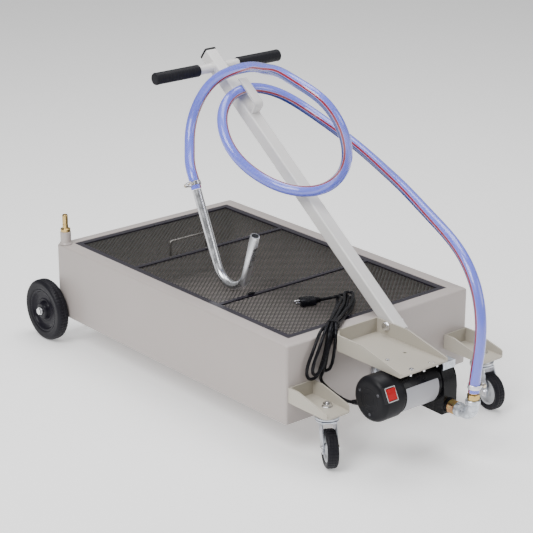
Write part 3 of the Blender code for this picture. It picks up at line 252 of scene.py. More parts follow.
def brushed(name, color, roughness, stretch, streak=0.22, scale=60):
    """Plated or polished metal with drawn streaks and light handling marks."""
    made = Shader(name, color, 1, roughness)
    lines = made.noise(scale, 4, stretch)
    made.color(made.mix(lines, shade(color, 1 - streak), shade(color, 1 + streak)))
    marks = made.noise(40, 5)
    made.rough(made.ramp(marks, 0.3, 0.75, roughness * 0.7, roughness * 1.45))
    made.bump(lines, 0.04, 0.5)
    return made.material


def spangled(name, color, roughness, scale=190):
    """Galvanised zinc with crystal spangle and dull patches."""
    made = Shader(name, color, 1, roughness)
    grain = made.node("ShaderNodeSeparateColor", {0: made.cells(scale)}).outputs[0]
    tone = made.mix(grain, shade(color, 0.72), shade(color, 1.22))
    dull = made.ramp(made.noise(55, 4), 0.45, 0.7, 0, 0.5)
    made.color(made.mix(dull, tone, shade(color, 0.8)))
    made.rough(made.math("MULTIPLY_ADD", grain, 0.22, roughness - 0.08))
    made.bump(made.noise(330, 3), 0.06, 0.5)
    return made.material


def rubber(name, color, roughness=0.62, dust=0.10):
    """Moulded rubber with fine grain and a dusting of grey."""
    made = Shader(name, color, 0, roughness, Specular_IOR_Level=0.16)
    grain = made.noise(520, 3)
    worn = made.ramp(made.noise(22, 5), 0.48, 0.80, 0, dust)
    base = made.mix(grain, shade(color, 0.75), shade(color, 1.35))
    made.color(made.mix(worn, base, (0.05, 0.05, 0.05)))
    made.rough(made.ramp(grain, 0.3, 0.7, roughness - 0.08, roughness + 0.10))
    made.bump(grain, 0.08, 0.5)
    return made.material


def plastic(name, color, roughness=0.36, texture=0.05):
    """Moulded plastic with a spark-eroded grain."""
    made = Shader(name, color, 0, roughness, Specular_IOR_Level=0.16)
    grain = made.noise(900, 2)
    tone = made.noise(6, 3)
    made.color(made.mix(tone, shade(color, 0.86), shade(color, 1.18)))
    made.rough(made.ramp(made.noise(30, 4), 0.35, 0.7, roughness - 0.05, roughness + 0.09))
    made.bump(grain, texture, 0.5)
    return made.material


def zinc(name, color, roughness):
    """Bright zinc plate: cloudy blue-grey with soft smears."""
    made = Shader(name, color, 1, roughness)
    cloud = made.noise(38, 5, roughness=0.62)
    tone = made.mix(made.ramp(cloud, 0.32, 0.7), shade(color, 0.74), shade(color, 1.14))
    tint = made.ramp(made.noise(17, 3), 0.45, 0.75, 0, 0.25)
    made.color(made.mix(tint, tone, (0.60, 0.58, 0.50)))
    made.rough(made.ramp(cloud, 0.3, 0.75, roughness - 0.06, roughness + 0.14))
    made.bump(made.noise(240, 3), 0.05, 0.4)
    return made.material


def yellow_zinc(name):
    """Yellow passivated zinc with rainbow clouds."""
    color, rust_red, green = (0.78, 0.52, 0.17), (0.62, 0.34, 0.20), (0.55, 0.62, 0.30)
    made = Shader(name, color, 1, 0.3)
    cloud = made.noise(70, 4)
    first = made.mix(made.ramp(cloud, 0.35, 0.6), rust_red, color)
    made.color(made.mix(made.ramp(made.noise(95, 3), 0.52, 0.7, 0, 0.6), first, green))
    made.rough(made.ramp(cloud, 0.3, 0.7, 0.22, 0.4))
    made.bump(made.noise(300, 2), 0.04, 0.4)
    return made.material


HOSE_BLUE = (0.080, 0.102, 0.700)
BRAID_WHITE = (0.62, 0.68, 1.00)
# Braid waves per metre of hose and once round it, and how strongly they show.
BRAID_ALONG = 200
BRAID_ROUND = 20
BRAID_SHOW = 0.40
# Stripes along the hose: place round it, half width, how strongly it shows and its colour.
HOSE_STRIPES = (
    (0.400, 0.062, 0.96, (0.005, 0.026, 0.23)),
    (0.50, 0.042, 0.55, (0.78, 0.76, 0.90)),
    (0.50, 0.034, 0.98, (0.26, 0.002, 0.016)),
)


def hose_material():
    """Clear-walled PVC hose: white braid over lavender blue, a red and a dark blue stripe.

    U of the UV map runs once round the hose and V in metres along it.
    """
    made = Shader("hose_pvc_braided", HOSE_BLUE, 0, 0.16, Coat_Weight=0.9, Coat_Roughness=0.08,
                  Subsurface_Weight=0.12, Subsurface_Scale=0.004, IOR=1.5)
    coords = made.node("ShaderNodeTexCoord", {}).outputs["UV"]
    split = made.node("ShaderNodeSeparateXYZ", {0: coords})
    around, along = split.outputs[0], split.outputs[1]
    lines = []
    for way in (1, -1):
        phase = made.math("MULTIPLY_ADD", along, way * BRAID_ALONG,
                          made.math("MULTIPLY", around, BRAID_ROUND))
        lines.append(made.ramp(made.math("PINGPONG", phase, 0.5), 0.02, 0.17, 1, 0))
    braid = made.math("MAXIMUM", *lines)
    tone = made.mix(made.noise(16, 3), shade(HOSE_BLUE, 0.88), shade(HOSE_BLUE, 1.12))
    body = made.mix(made.math("MULTIPLY", braid, BRAID_SHOW), tone, BRAID_WHITE)
    for centre, half, show, color in HOSE_STRIPES:
        away = made.math("ABSOLUTE", made.math("SUBTRACT", around, centre))
        cover = made.ramp(away, half * 0.86, half, 1, 0)
        body = made.mix(made.math("MULTIPLY", cover, show), body, color)
    made.color(body)
    made.rough(made.ramp(made.noise(60, 3), 0.3, 0.7, 0.12, 0.24))
    made.bump(braid, 0.22, 0.35)
    made.bump(made.noise(34, 2), 0.3, 0.15)
    return made.material


PAINT = paint("tank_powder_coat", (0.430, 0.386, 0.366))
PAINT_BRACKET = paint("bracket_powder_coat", (0.440, 0.408, 0.344))
PAINT_HANDLE = paint("handle_powder_coat", (0.670, 0.655, 0.640), 0.34)
GRATE = paint("grate_coat", (0.018, 0.015, 0.024), 0.30)
MESH = paint("expanded_mesh_coat", (0.050, 0.050, 0.047), 0.36)
BLACK_HOUSING = plastic("motor_black_enamel", (0.005, 0.005, 0.006), 0.28)
GRATE_WIRE = brushed("bail_wire", (0.20, 0.19, 0.18), 0.34, (1, 0.1, 1))
BRASS = brushed("turned_brass", (0.56, 0.40, 0.16), 0.24, (1, 1, 14), 0.20, 40)
YELLOW_ZINC = yellow_zinc("yellow_zinc_plate")
GALVANISED = spangled("galvanised_casting", (0.60, 0.63, 0.68), 0.34)
ZINC = zinc("bright_zinc_pressing", (0.66, 0.69, 0.76), 0.30)
STEEL = brushed("plated_bolt", (0.74, 0.74, 0.76), 0.22, EVEN, 0.18, 140)
NOZZLE_STEEL = brushed("drawn_nozzle_tube", (0.66, 0.67, 0.69), 0.27, (30, 30, 1.2), 0.30, 26)
SCREW_BRASS = brushed("clamp_screw", (0.70, 0.62, 0.46), 0.28, EVEN, 0.2, 120)
DARK_HUB = plastic("hub_black_nylon", (0.010, 0.009, 0.014), 0.30)
GREY_HUB = plastic("hub_grey_nylon", (0.50, 0.51, 0.53), 0.42)
TYRE = rubber("tyre_rubber", (0.009, 0.0085, 0.012), 0.42, 0.05)
CAP_BLACK = plastic("motor_cap_black", (0.007, 0.007, 0.009), 0.42)
PUMP_BLACK = plastic("pump_black_enamel", (0.005, 0.005, 0.006), 0.24)
LABEL = plastic("label_film", (0.400, 0.400, 0.425), 0.34, 0.02)
DARK_SCREW = brushed("blackened_screw", (0.10, 0.10, 0.11), 0.35, EVEN)
TRIM_WHITE = plastic("switch_outline", (0.62, 0.62, 0.62), 0.4)
COPPER = brushed("stator_winding", (0.62, 0.28, 0.14), 0.35, (1, 30, 1))
GRIP = rubber("grip_foam", (0.010, 0.010, 0.013), 0.50, 0.04)
HOSE = hose_material()
CORD = rubber("cord_black_pvc", (0.006, 0.006, 0.008), 0.24, 0.02)
RED = plastic("rocker_red", (0.42, 0.010, 0.012), 0.30, 0.02)

def both(stem):
    """Names of the near and the far one of a pair."""
    return stem + "_near", stem + "_far"


# Materials of the CAD nodes that stay in view.
NODE_MATERIALS = {
    PAINT: ("tank_shell", *both("axle_bracket")),
    PAINT_BRACKET: ("pump_bracket", *both("caster_bracket")),
    PAINT_HANDLE: ("handle_tube", "hose_hook"),
    GRATE: ("main_grate_frame", "lift_screen_frame"),
    GALVANISED: ("pump_mount_angle", "motor_armature"),
    ZINC: both("caster_fork"),
    STEEL: ("rear_axle",),
    NOZZLE_STEEL: ("nozzle_pipe",),
    CAP_BLACK: ("motor_end_cap", "handle_end_cap"),
    PUMP_BLACK: ("pump_head", "pump_cover"),
    COPPER: ("motor_stator",),
    CORD: ("cord_strain_relief",),
    RED: ("switch_rocker",),
}
# Their rounded edges: width in millimetres, segments and names.
NODE_BEVELS = (
    (0.5, 2, ("motor_end_cap", "pump_mount_angle")),
    (0.6, 2, ("main_grate_frame", "lift_screen_frame")),
    (0.6, 3, both("axle_bracket")),
    (0.8, 3, ("switch_rocker",)),
    (0.9, 3, ("pump_bracket", *both("caster_bracket"), *both("caster_fork"))),
    (1, 2, ("pump_head", "pump_cover")),
    (1.2, 3, ("hose_hook",)),
)
# And those shaded smoothly across their shallow edges.
NODES_ROUND = ("nozzle_pipe", "motor_end_cap", "handle_end_cap", "cord_strain_relief",
               *both("caster_fork"), "hose_hook", "tank_shell", "pump_head", "rear_axle",
               "motor_stator", "motor_armature")
ROUND_ANGLE = 34
MERGE_DISTANCE = 1e-6


def dress_nodes():
    """Give every CAD node that stays in view its material, edges and shading."""
    for material, names in NODE_MATERIALS.items():
        for name in names:
            for slot in NODES[name].material_slots:
                slot.material = material
    for width, segments, names in NODE_BEVELS:
        for name in names:
            add_bevel(NODES[name], width, segments)
    tree = round_shading()
    for name in NODES_ROUND:
        NODES[name].modifiers.new("round_shading", "NODES").node_group = tree


# ---------------------------------------------------------------- geometry helpers

def finish_piece(piece, body, replaced=()):
    """Tie a piece to its body and hide the CAD nodes it stands for."""
    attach(piece, body)
    if replaced:
        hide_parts(*replaced)
    return piece


def mesh_piece(name, points, faces, material, sharp=35, uvs=None):
    """Mesh from tank-frame points; uvs holds one pair per face corner."""
    mesh = bpy.data.meshes.new(name)
    mesh.from_pydata(worlds(points), [], faces)
    if uvs:
        layer = mesh.uv_layers.new(name="along")
        for loop, uv in zip(layer.data, uvs):
            loop.uv = uv
    else:
        work = bmesh.new()
        work.from_mesh(mesh)
        bmesh.ops.recalc_face_normals(work, faces=work.faces)
        work.to_mesh(mesh)
        work.free()
    mesh.shade_smooth()
    mesh.set_sharp_from_angle(angle=math.radians(sharp))
    mesh.materials.append(material)
    piece = add_object(name, mesh)
    return piece


def ring_faces(lower, upper):
    """Faces between two rings; a one-point ring is a pole."""
    count = max(len(lower), len(upper))
    faces = []
    for index in range(count):
        after = (index + 1) % count
        if len(lower) == 1:
            faces.append((lower[0], upper[after], upper[index]))
        elif len(upper) == 1:
            faces.append((lower[index], lower[after], upper[0]))
        else:
            faces.append((lower[index], lower[after], upper[after], upper[index]))
    return faces


class Soup:
    """Points and faces of several closed solids gathered into one piece."""

    def __init__(self):
        self.points = []
        self.faces = []

    def loft(self, rings, closed=False):
        """Add a solid through rings of points."""
        indices = []
        for ring in rings:
            indices.append(list(range(len(self.points), len(self.points) + len(ring))))
            self.points.extend(tuple(point) for point in ring)
        for lower, upper in zip(indices, indices[1:]):
            self.faces.extend(ring_faces(lower, upper))
        if closed:
            self.faces.extend(ring_faces(indices[-1], indices[0]))
        else:
            for cap in (indices[0], indices[-1]):
                if len(cap) > 2:
                    self.faces.append(tuple(cap))

    def turned(self, profile, centre, direction, sides=64, ripple=None, ease=0):
        """Add a solid of revolution; ripple(turn, radius) may change the radius round it."""
        first, second, forward = basis(direction)
        if ease:
            profile = rounded(profile, ease)
        rings = []
        for radius, along in profile:
            middle = Vector(centre) + forward * along
            if radius == 0:
                rings.append([middle])
                continue
            ring = []
            for turn in turns_round(sides):
                reach = ripple(turn, radius) if ripple else radius
                ring.append(middle + spoke(first, second, turn) * reach)
            rings.append(ring)
        self.loft(rings, closed=profile[0][0] > 0 and profile[-1][0] > 0)

    def disc(self, radius, low, high, centre, direction, sides, ease=0.4):
        """Add a solid cylinder, its rims eased unless ease is zero."""
        profile = [(0, low), (radius, low), (radius, high), (0, high)]
        self.turned(profile, centre, direction, sides, ease=ease)

    def box(self, centre, axes, half):
        """Add a box with half sizes along three axes."""
        wide, deep, tall = (Vector(axis) for axis in axes)
        rings = []
        for level in (-1, 1):
            ring = []
            for a, b in ((-1, -1), (1, -1), (1, 1), (-1, 1)):
                corner = Vector(centre) + wide * a * half[0] + deep * b * half[1]
                ring.append(corner + tall * level * half[2])
            rings.append(ring)
        self.loft(rings)

    def piece(self, name, material, body, slot, replaced=(), sharp=35):
        """Make the piece and tie it to the frame."""
        made = mesh_piece(name, self.points, self.faces, material, sharp)
        return finish_piece(made, body, replaced)


def add_bevel(piece, width_mm, segments=2):
    """Rounded edges as a modifier."""
    step = piece.modifiers.new("edge_round", "BEVEL")
    step.width = width_mm * MM
    step.segments = segments
    step.limit_method = "ANGLE"
    step.angle_limit = math.radians(BEVEL_ANGLE)
    step.harden_normals = False


def round_shading():
    """Modifier tree that shades smoothly across edges below a fixed angle."""
    tree = bpy.data.node_groups.new("round_shading", "GeometryNodeTree")
    tree.is_modifier = True
    for way in ("INPUT", "OUTPUT"):
        tree.interface.new_socket("Geometry", in_out=way, socket_type="NodeSocketGeometry")
    entry = tree.nodes.new("NodeGroupInput")
    merged = tree.nodes.new("GeometryNodeMergeByDistance")
    merged.inputs["Distance"].default_value = MERGE_DISTANCE
    faces = tree.nodes.new("GeometryNodeSetShadeSmooth")
    faces.domain = "FACE"
    angle = tree.nodes.new("GeometryNodeInputMeshEdgeAngle")
    small = tree.nodes.new("FunctionNodeCompare")
    small.data_type = "FLOAT"
    small.operation = "LESS_THAN"
    small.inputs[1].default_value = math.radians(ROUND_ANGLE)
    edges = tree.nodes.new("GeometryNodeSetShadeSmooth")
    edges.domain = "EDGE"
    leave = tree.nodes.new("NodeGroupOutput")
    for source, target in ((entry, merged), (merged, faces), (angle, small), (faces, edges),
                           (edges, leave)):
        tree.links.new(source.outputs[0], target.inputs[0])
    tree.links.new(small.outputs[0], edges.inputs["Shade Smooth"])
    return tree


def basis(direction, side=(0, 0, 1)):
    """Two unit vectors square to a direction, and the direction itself."""
    forward = Vector(direction).normalized()
    helper = Vector(side)
    if abs(forward.dot(helper.normalized())) > 0.9:
        helper = SIDEWAYS
    first = helper.cross(forward).normalized()
    return first, forward.cross(first), forward


def turns_round(count):
    """Evenly spaced turns once round, in radians."""
    return [2 * math.pi * step / count for step in range(count)]


def spoke(first, second, turn):
    """Unit vector at a turn in the plane of two others."""
    return first * math.cos(turn) + second * math.sin(turn)


def distances(points):
    """Distance of each point from the first along the line through them."""
    gaps = np.linalg.norm(np.diff(points, axis=0), axis=1)
    return np.concatenate(([0], np.cumsum(gaps)))



def smooth_route(knots, count, start_direction, end_direction):
    """Evenly spaced points on a clamped cubic spline through knots."""
    knots = np.array(knots, dtype=float)
    steps = np.linalg.norm(np.diff(knots, axis=0), axis=1)
    times = np.concatenate(([0], np.cumsum(steps)))
    size = len(knots)
    matrix = np.eye(size)
    slopes = np.zeros((size, 3))
    slopes[0] = np.array(start_direction) / np.linalg.norm(start_direction)
    slopes[-1] = np.array(end_direction) / np.linalg.norm(end_direction)
    for index in range(1, size - 1):
        before = steps[index - 1]
        after = steps[index]
        matrix[index, index - 1] = after
        matrix[index, index] = 2 * (before + after)
        matrix[index, index + 1] = before
        rise = after * (knots[index] - knots[index - 1]) / before
        rise += before * (knots[index + 1] - knots[index]) / after
        slopes[index] = 3 * rise
    slopes = np.linalg.solve(matrix, slopes)
    fine_times = np.linspace(0, times[-1], 9000)
    spans = np.clip(np.searchsorted(times, fine_times, side="right") - 1, 0, size - 2)
    width = steps[spans][:, None]
    s = (fine_times - times[spans])[:, None] / width
    fine = (2 * s**3 - 3 * s**2 + 1) * knots[spans] + (s**3 - 2 * s**2 + s) * width * slopes[spans]
    fine += (3 * s**2 - 2 * s**3) * knots[spans + 1] + (s**3 - s**2) * width * slopes[spans + 1]
    lengths = distances(fine)
    wanted = np.linspace(0, lengths[-1], count)
    return np.column_stack([np.interp(wanted, lengths, fine[:, axis]) for axis in range(3)])


# ---------------------------------------------------------------- transfer hose

HOSE_RADIUS = 12.6
HOSE_START = (1187, 273, 105.6)
HOSE_ROUTE = (
    (1194, 274, 185), (1194, 278, 263), (1168, 287, 333), (1117, 301, 384), (1049, 319, 415),
    (975, 340, 434), (903, 362, 450), (832, 384, 464), (756, 406, 477), (683, 424, 491),
    (608, 436, 508), (534, 438, 529), (466, 423, 558), (416, 379, 594), (394, 309, 615),
    (405, 235, 606), (443, 181, 567), (495, 167, 511), (550, 192, 462), (612, 230, 434),
    (678, 260, 438), (743, 269, 477), (790, 256, 539), (803, 232, 609), (770, 207, 673),
    (701, 190, 706), (619, 202, 714), (546, 224, 704), (474, 248, 691), (400, 256, 669),
    (337.1, 243.4, 633.5), (305.5, 218.8, 578.1), (310.2, 188.1, 508.3), (331.5, 169.6, 475.3),
    (358.7, 149.7, 447.4), (383.4, 139.1, 424.7),
)
# Turn of the red stripe round the hose, in degrees, at every second route point.
STRIPE_TURNS = (24, 30, 40, 54, 66, 74, 80, 72, 44, 28, 24, 34, 60, 76, 80, 56, 34, 28, 26)
NOZZLE_TOP = Vector((397.4, 138.1, 397.7))
NOZZLE_LEG = Vector((0.414, 0, -0.910)).normalized()
NOZZLE_GAP = 1.2
HOSE_RINGS = 620
HOSE_SIDES = 28


def hose_line(count=HOSE_RINGS):
    """Centreline of the hose from the barb to the nozzle."""
    end = NOZZLE_TOP - NOZZLE_LEG * NOZZLE_GAP
    return smooth_route([HOSE_START, *HOSE_ROUTE, tuple(end)], count, (0, 0, 1), NOZZLE_LEG)


def transfer_hose():
    """Braided hose as one tube with UVs round and along it."""
    line = hose_line()
    tangents = np.gradient(line, axis=0)
    points = []
    stripe_at = np.linspace(0, HOSE_RINGS - 1, len(STRIPE_TURNS))
    stripe = np.interp(np.arange(HOSE_RINGS), stripe_at, STRIPE_TURNS)
    for index in range(HOSE_RINGS):
        forward = Vector(tangents[index]).normalized()
        inner = VIEW_BACK.cross(forward).normalized()
        front = forward.cross(inner)
        begin = math.radians(stripe[index]) - math.pi
        for turn in turns_round(HOSE_SIDES):
            points.append(Vector(line[index]) + spoke(inner, front, begin + turn) * HOSE_RADIUS)
    spacing = float(np.linalg.norm(line[1] - line[0])) * MM
    faces = []
    uvs = []
    for index in range(HOSE_RINGS - 1):
        low = index * HOSE_SIDES
        high = low + HOSE_SIDES
        v0 = index * spacing
        v1 = v0 + spacing
        for step in range(HOSE_SIDES):
            after = (step + 1) % HOSE_SIDES
            faces.append((low + step, low + after, high + after, high + step))
            u0 = step / HOSE_SIDES
            u1 = (step + 1) / HOSE_SIDES
            uvs.extend(((u0, v0), (u1, v0), (u1, v1), (u0, v1)))
    last = (HOSE_RINGS - 1) * HOSE_SIDES
    faces.append(tuple(reversed(range(HOSE_SIDES))))
    faces.append(tuple(last + step for step in range(HOSE_SIDES)))
    uvs.extend([(0.9, 0)] * (2 * HOSE_SIDES))
    hose = mesh_piece("hose_braided", points, faces, HOSE, uvs=uvs)
    finish_piece(hose, "tank", ["transfer_hose"])


# Clamp band: distance from the hose end, radii, lap of its free end, half widths.
CLAMP_SETBACK = 14
BAND_RADIUS = 14.1
BAND_BORE = 12.75
BAND_LAP = 0.55
BAND_HALF = 5.2
BAND_FLAT = 4.6
RIM_EASE = 0.96


def hose_clamp(name, end, inward, lug_turn, replaced):
    """Worm-drive clamp: threaded band, screw housing and hex-headed screw."""
    first, second, forward = basis(Vector(inward) - Vector(end))
    centre = Vector(end) + forward * CLAMP_SETBACK
    outer = []
    inner = []
    for turn in turns_round(96):
        lapped = math.remainder(turn - lug_turn, 2 * math.pi) > 0.9
        outer.append(spoke(first, second, turn) * (BAND_RADIUS + (BAND_LAP if lapped else 0)))
        inner.append(spoke(first, second, turn) * BAND_BORE)
    rings = []
    for offsets, level, grow in (
            (outer, -BAND_HALF, RIM_EASE), (outer, -BAND_FLAT, 1), (outer, BAND_FLAT, 1),
            (outer, BAND_HALF, RIM_EASE), (inner, BAND_HALF, 1), (inner, -BAND_HALF, 1)):
        rings.append([centre + forward * level + offset * grow for offset in offsets])
    soup = Soup()
    soup.loft(rings, closed=True)
    for index in range(26):
        out = spoke(first, second, lug_turn + 1.1 + index * 0.15)
        along = out.cross(forward)
        soup.box(centre + out * 14.5, (along + forward * 0.25, forward, out), (0.5, 2.9, 0.35))
    out = spoke(first, second, lug_turn)
    along = out.cross(forward)
    hub = centre + out * 18.6
    housing = [(0, -6.5), (4.6, -6.5), (5.4, -5.5), (5.4, 5), (4.6, 6.5), (0, 6.5)]
    soup.turned(rounded(housing, 0.8), hub, along, 32)
    soup.box(hub - out * 3.2, (along, forward, out), (6.3, 6.1, 1.7))
    clamp = soup.piece(name, STEEL, "tank", "bright_steel", replaced)
    head = [(0, 6.6), (2.6, 6.6), (2.6, 9.4), (5, 9.6), (5, 13.2), (4.2, 14.4), (0, 14.4)]
    tip = [(0, -10.5), (2.2, -10.5), (2.6, -9.8), (2.6, -6.6), (0, -6.6)]
    screw = Soup()
    screw.turned(rounded(head, 0.5), hub, along, 6)
    screw.turned(rounded(tip, 0.3), hub, along, 24)
    return [clamp, screw.piece(name + "_screw", SCREW_BRASS, "tank", "brass")]


# ---------------------------------------------------------------- power cord

CORD_RADIUS = 3.75
RELIEF_BASE = (1016.6, 99.5, 73)
LEAD_START = (993.2, 98.8, 65.6)
LEAD_ROUTE = ((976, 98, 62.6), (957, 97.2, 63.6), (935, 95.4, 68.4), (913, 92.8, 77))
PLUG_TAIL = Vector((730.2, 235.8, 193))
PLUG_NOSE = Vector((714, 188.5, 193))
# Hank centreline from its bottom to its top: x, y, z and how far the lateral axis has
# turned away from the wall.
HANK_LINE = (
    (897.5, 87.5, 97, 0), (897.5, 88, 112, 0), (898, 93, 128, 0),
    (898.5, 100, 148, 0), (899, 106.5, 168, 0), (898.5, 112, 184, 0.05),
    (893.5, 119.5, 195.8, 0.35), (882, 134, 200.5, 0.8), (861, 163, 200.5, 1),
    (843, 189.5, 199, 1), (822.5, 217, 196, 1), (800, 248, 193, 1),
    (779, 270, 192, 1), (756, 293, 191.7, 1), (741, 307, 191.7, 1),
)
# Lateral axis at the wall and over the grate.
WALL_ACROSS = Vector((0, 1, 0))
GRATE_ACROSS = Vector((0.81, 0.58, 0))
HANK_TIE = 138
# Per strand: side and depth at the bottom, at the tie and at the top.
STRANDS = (
    ((16, -7.2), (11.4, -3.6), (17, -5.4)),
    ((-1, 0.3), (-3.8, -3.6), (-2, -5.4)),
    ((-41, 0.3), (-11.4, -3.6), (-19, 1.2)),
    ((6.5, 0.3), (3.8, -3.6), (4, 1.2)),
    ((29, 0.3), (7.6, 3.2), (15, 7.8)),
    ((-6, 7.6), (0, 3.2), (-3, 7.8)),
    ((-32, 7.6), (-7.6, 3.2), (-11.5, 7.8)),
)
# Fold middles, up from the bottom and down from the top, and points in a fold and a strand.
LOW_FOLDS = (6, 21, 21, 22, 22, 24, 24)
HIGH_FOLDS = (15, 15, 17, 17, 14, 14, 46)
FOLD_POINTS = 5
STRAND_POINTS = 9
# Share of each half of the hank over which the strands spread.
SPREAD_SHARE = 0.85
# Last bend before the plug: centre, radius, and heading and height of two points on it.
LAST_BEND = (757, 249)
LAST_BEND_RADIUS = 22
LAST_BEND_POINTS = ((193, 199), (222, 195.5))


class Hank:
    """Places along, across and through the hank."""

    def __init__(self):
        knots = np.array([row[:3] for row in HANK_LINE])
        self.line = smooth_route(knots, 400, (0, 0, 1), knots[-1] - knots[-2])
        self.lengths = distances(self.line)
        self.total = float(self.lengths[-1])
        chord = distances(knots)
        chord *= self.total / chord[-1]
        self.turned = np.interp(self.lengths, chord, [row[3] for row in HANK_LINE])
        self.forward = np.gradient(self.line, self.lengths, axis=0)

    def at(self, along, side, depth):
        """Tank-frame point; along may run a little past either end."""
        inside = min(max(along, 0), self.total)

        def read(values):
            return float(np.interp(inside, self.lengths, values))

        centre = Vector([read(values) for values in self.line.T])
        forward = Vector([read(values) for values in self.forward.T])
        forward.normalize()
        across = WALL_ACROSS.lerp(GRATE_ACROSS, read(self.turned))
        across = (across - forward * across.dot(forward)).normalized()
        through = across.cross(forward)
        return centre + forward * (along - inside) + across * side + through * depth


def strand_points(strand, low, high):
    """Points along one strand between two distances up the hank."""
    bottom, tie, top = strand
    points = []
    for step in range(STRAND_POINTS):
        along = low + (high - low) * step / (STRAND_POINTS - 1)
        end, span = (bottom, HANK_TIE - low) if along < HANK_TIE else (top, high - HANK_TIE)
        spread = min(abs(along - HANK_TIE) / (SPREAD_SHARE * span), 1)
        spread = spread * spread * (3 - 2 * spread)
        side = tie[0] + (end[0] - tie[0]) * spread
        depth = tie[1] + (end[1] - tie[1]) * spread
        points.append((along, side, depth))
    return points


def fold_points(start, end, centre, way):
    """Half-round fold between two lateral places at one end of the hank."""
    radius = abs(end[0] - start[0]) / 2
    middle = (start[0] + end[0]) / 2
    sign = 1 if start[0] > end[0] else -1
    points = []
    for step in range(1, FOLD_POINTS + 1):
        share = step / (FOLD_POINTS + 1)
        turn = math.pi * step / (FOLD_POINTS + 1)
        points.append((centre + way * radius * math.sin(turn),
                       middle + sign * radius * math.cos(turn),
                       start[1] + (end[1] - start[1]) * share))
    return points


def cord_route():
    """Knots of the whole cord from the strain relief to the plug."""
    hank = Hank()
    knots = [Vector(LEAD_START), *(Vector(point) for point in LEAD_ROUTE)]
    knots.append(hank.at(-6, 9, -7))
    last = len(STRANDS) - 1
    for index, strand in enumerate(STRANDS):
        low = LOW_FOLDS[index]
        high = hank.total - HIGH_FOLDS[index]
        places = strand_points(strand, low, high)
        if index % 2:
            places.reverse()
            places += fold_points(strand[0], STRANDS[index + 1][0], low, -1)
        elif index < last:
            places += fold_points(strand[2], STRANDS[index + 1][2], high, 1)
        knots.extend(hank.at(*place) for place in places)
    for degrees, height in LAST_BEND_POINTS:
        heading = math.radians(degrees)
        knots.append(Vector((LAST_BEND[0] + LAST_BEND_RADIUS * math.sin(heading),
                             LAST_BEND[1] - LAST_BEND_RADIUS * math.cos(heading), height)))
    run = (PLUG_NOSE - PLUG_TAIL).normalized()
    knots += [PLUG_TAIL - run * 8, PLUG_TAIL + run * 2]
    return hank, knots, run


def power_cord():
    """The whole cord on one smooth line, its tie and its plug."""
    hank, knots, run = cord_route()
    start = Vector(LEAD_START) - Vector(RELIEF_BASE)
    line = smooth_route(knots, 900, start, run)
    curve = bpy.data.curves.new("power_cord", "CURVE")
    curve.dimensions = "3D"
    curve.bevel_depth = CORD_RADIUS * MM
    curve.bevel_resolution = 5
    curve.use_fill_caps = True
    spline = curve.splines.new("POLY")
    spline.points.add(len(line) - 1)
    for target, point in zip(spline.points, line):
        target.co = (*world(*point), 1)
    spline.use_smooth = True
    curve.materials.append(CORD)
    piece = add_object("power_cord", curve)
    finish_piece(piece, "tank", ["power_cord_lead", "power_cord_hank"])
    plug = power_plug(run)
    tie = cord_tie(hank)


# Inner outline of the tie as side and depth, its half width and its thickness.
TIE_OUTLINE = ((15.6, -3.6), (13.4, 1.4), (10, 6.2), (7, 7.4), (-7, 7.4), (-10, 6.2),
               (-13.4, 1.4), (-15.6, -3.6), (-14, -7), (-11, -7.9), (11, -7.9), (14, -7))
TIE_HALF = 3.4
TIE_THICKNESS = 1.1


def cord_tie(hank):
    """Flat tie drawn round the hank's waist."""
    rings = []
    for level, grow in ((-TIE_HALF, 0), (-TIE_HALF, TIE_THICKNESS), (TIE_HALF, TIE_THICKNESS),
                        (TIE_HALF, 0)):
        ring = []
        for side, depth in TIE_OUTLINE:
            wider = 1 + grow / math.hypot(side, depth)
            ring.append(hank.at(HANK_TIE + level, side * wider, depth * wider))
        rings.append(ring)
    soup = Soup()
    soup.loft(rings, closed=True)
    return soup.piece("cord_tie", CORD, "tank", "cord_black")


# Plug sections from the cord to its face: distance, half width and half height.
PLUG_NECK = ((0, 4.3, 4.3), (1, 5, 5))
PLUG_BODY = (
    (13.4, 8.6, 7.6), (14.6, 12.6, 9.4), (16.4, 14.2, 10.2), (24, 14.6, 10.4), (27, 13.6, 9.8),
    (30, 13.5, 9.8), (32, 14.6, 10.4), (42, 14.8, 10.4), (47.4, 14.2, 10),
    (49.4, 13.4, 9.4), (50, 12, 8.4),
)
PLUG_SQUARENESS = 0.62
PRONG_SIDE = 6.3
EARTH_RISE = 4.6


def squared(value):
    """Cosine or sine of a rounded square."""
    return math.copysign(abs(value) ** PLUG_SQUARENESS, value)


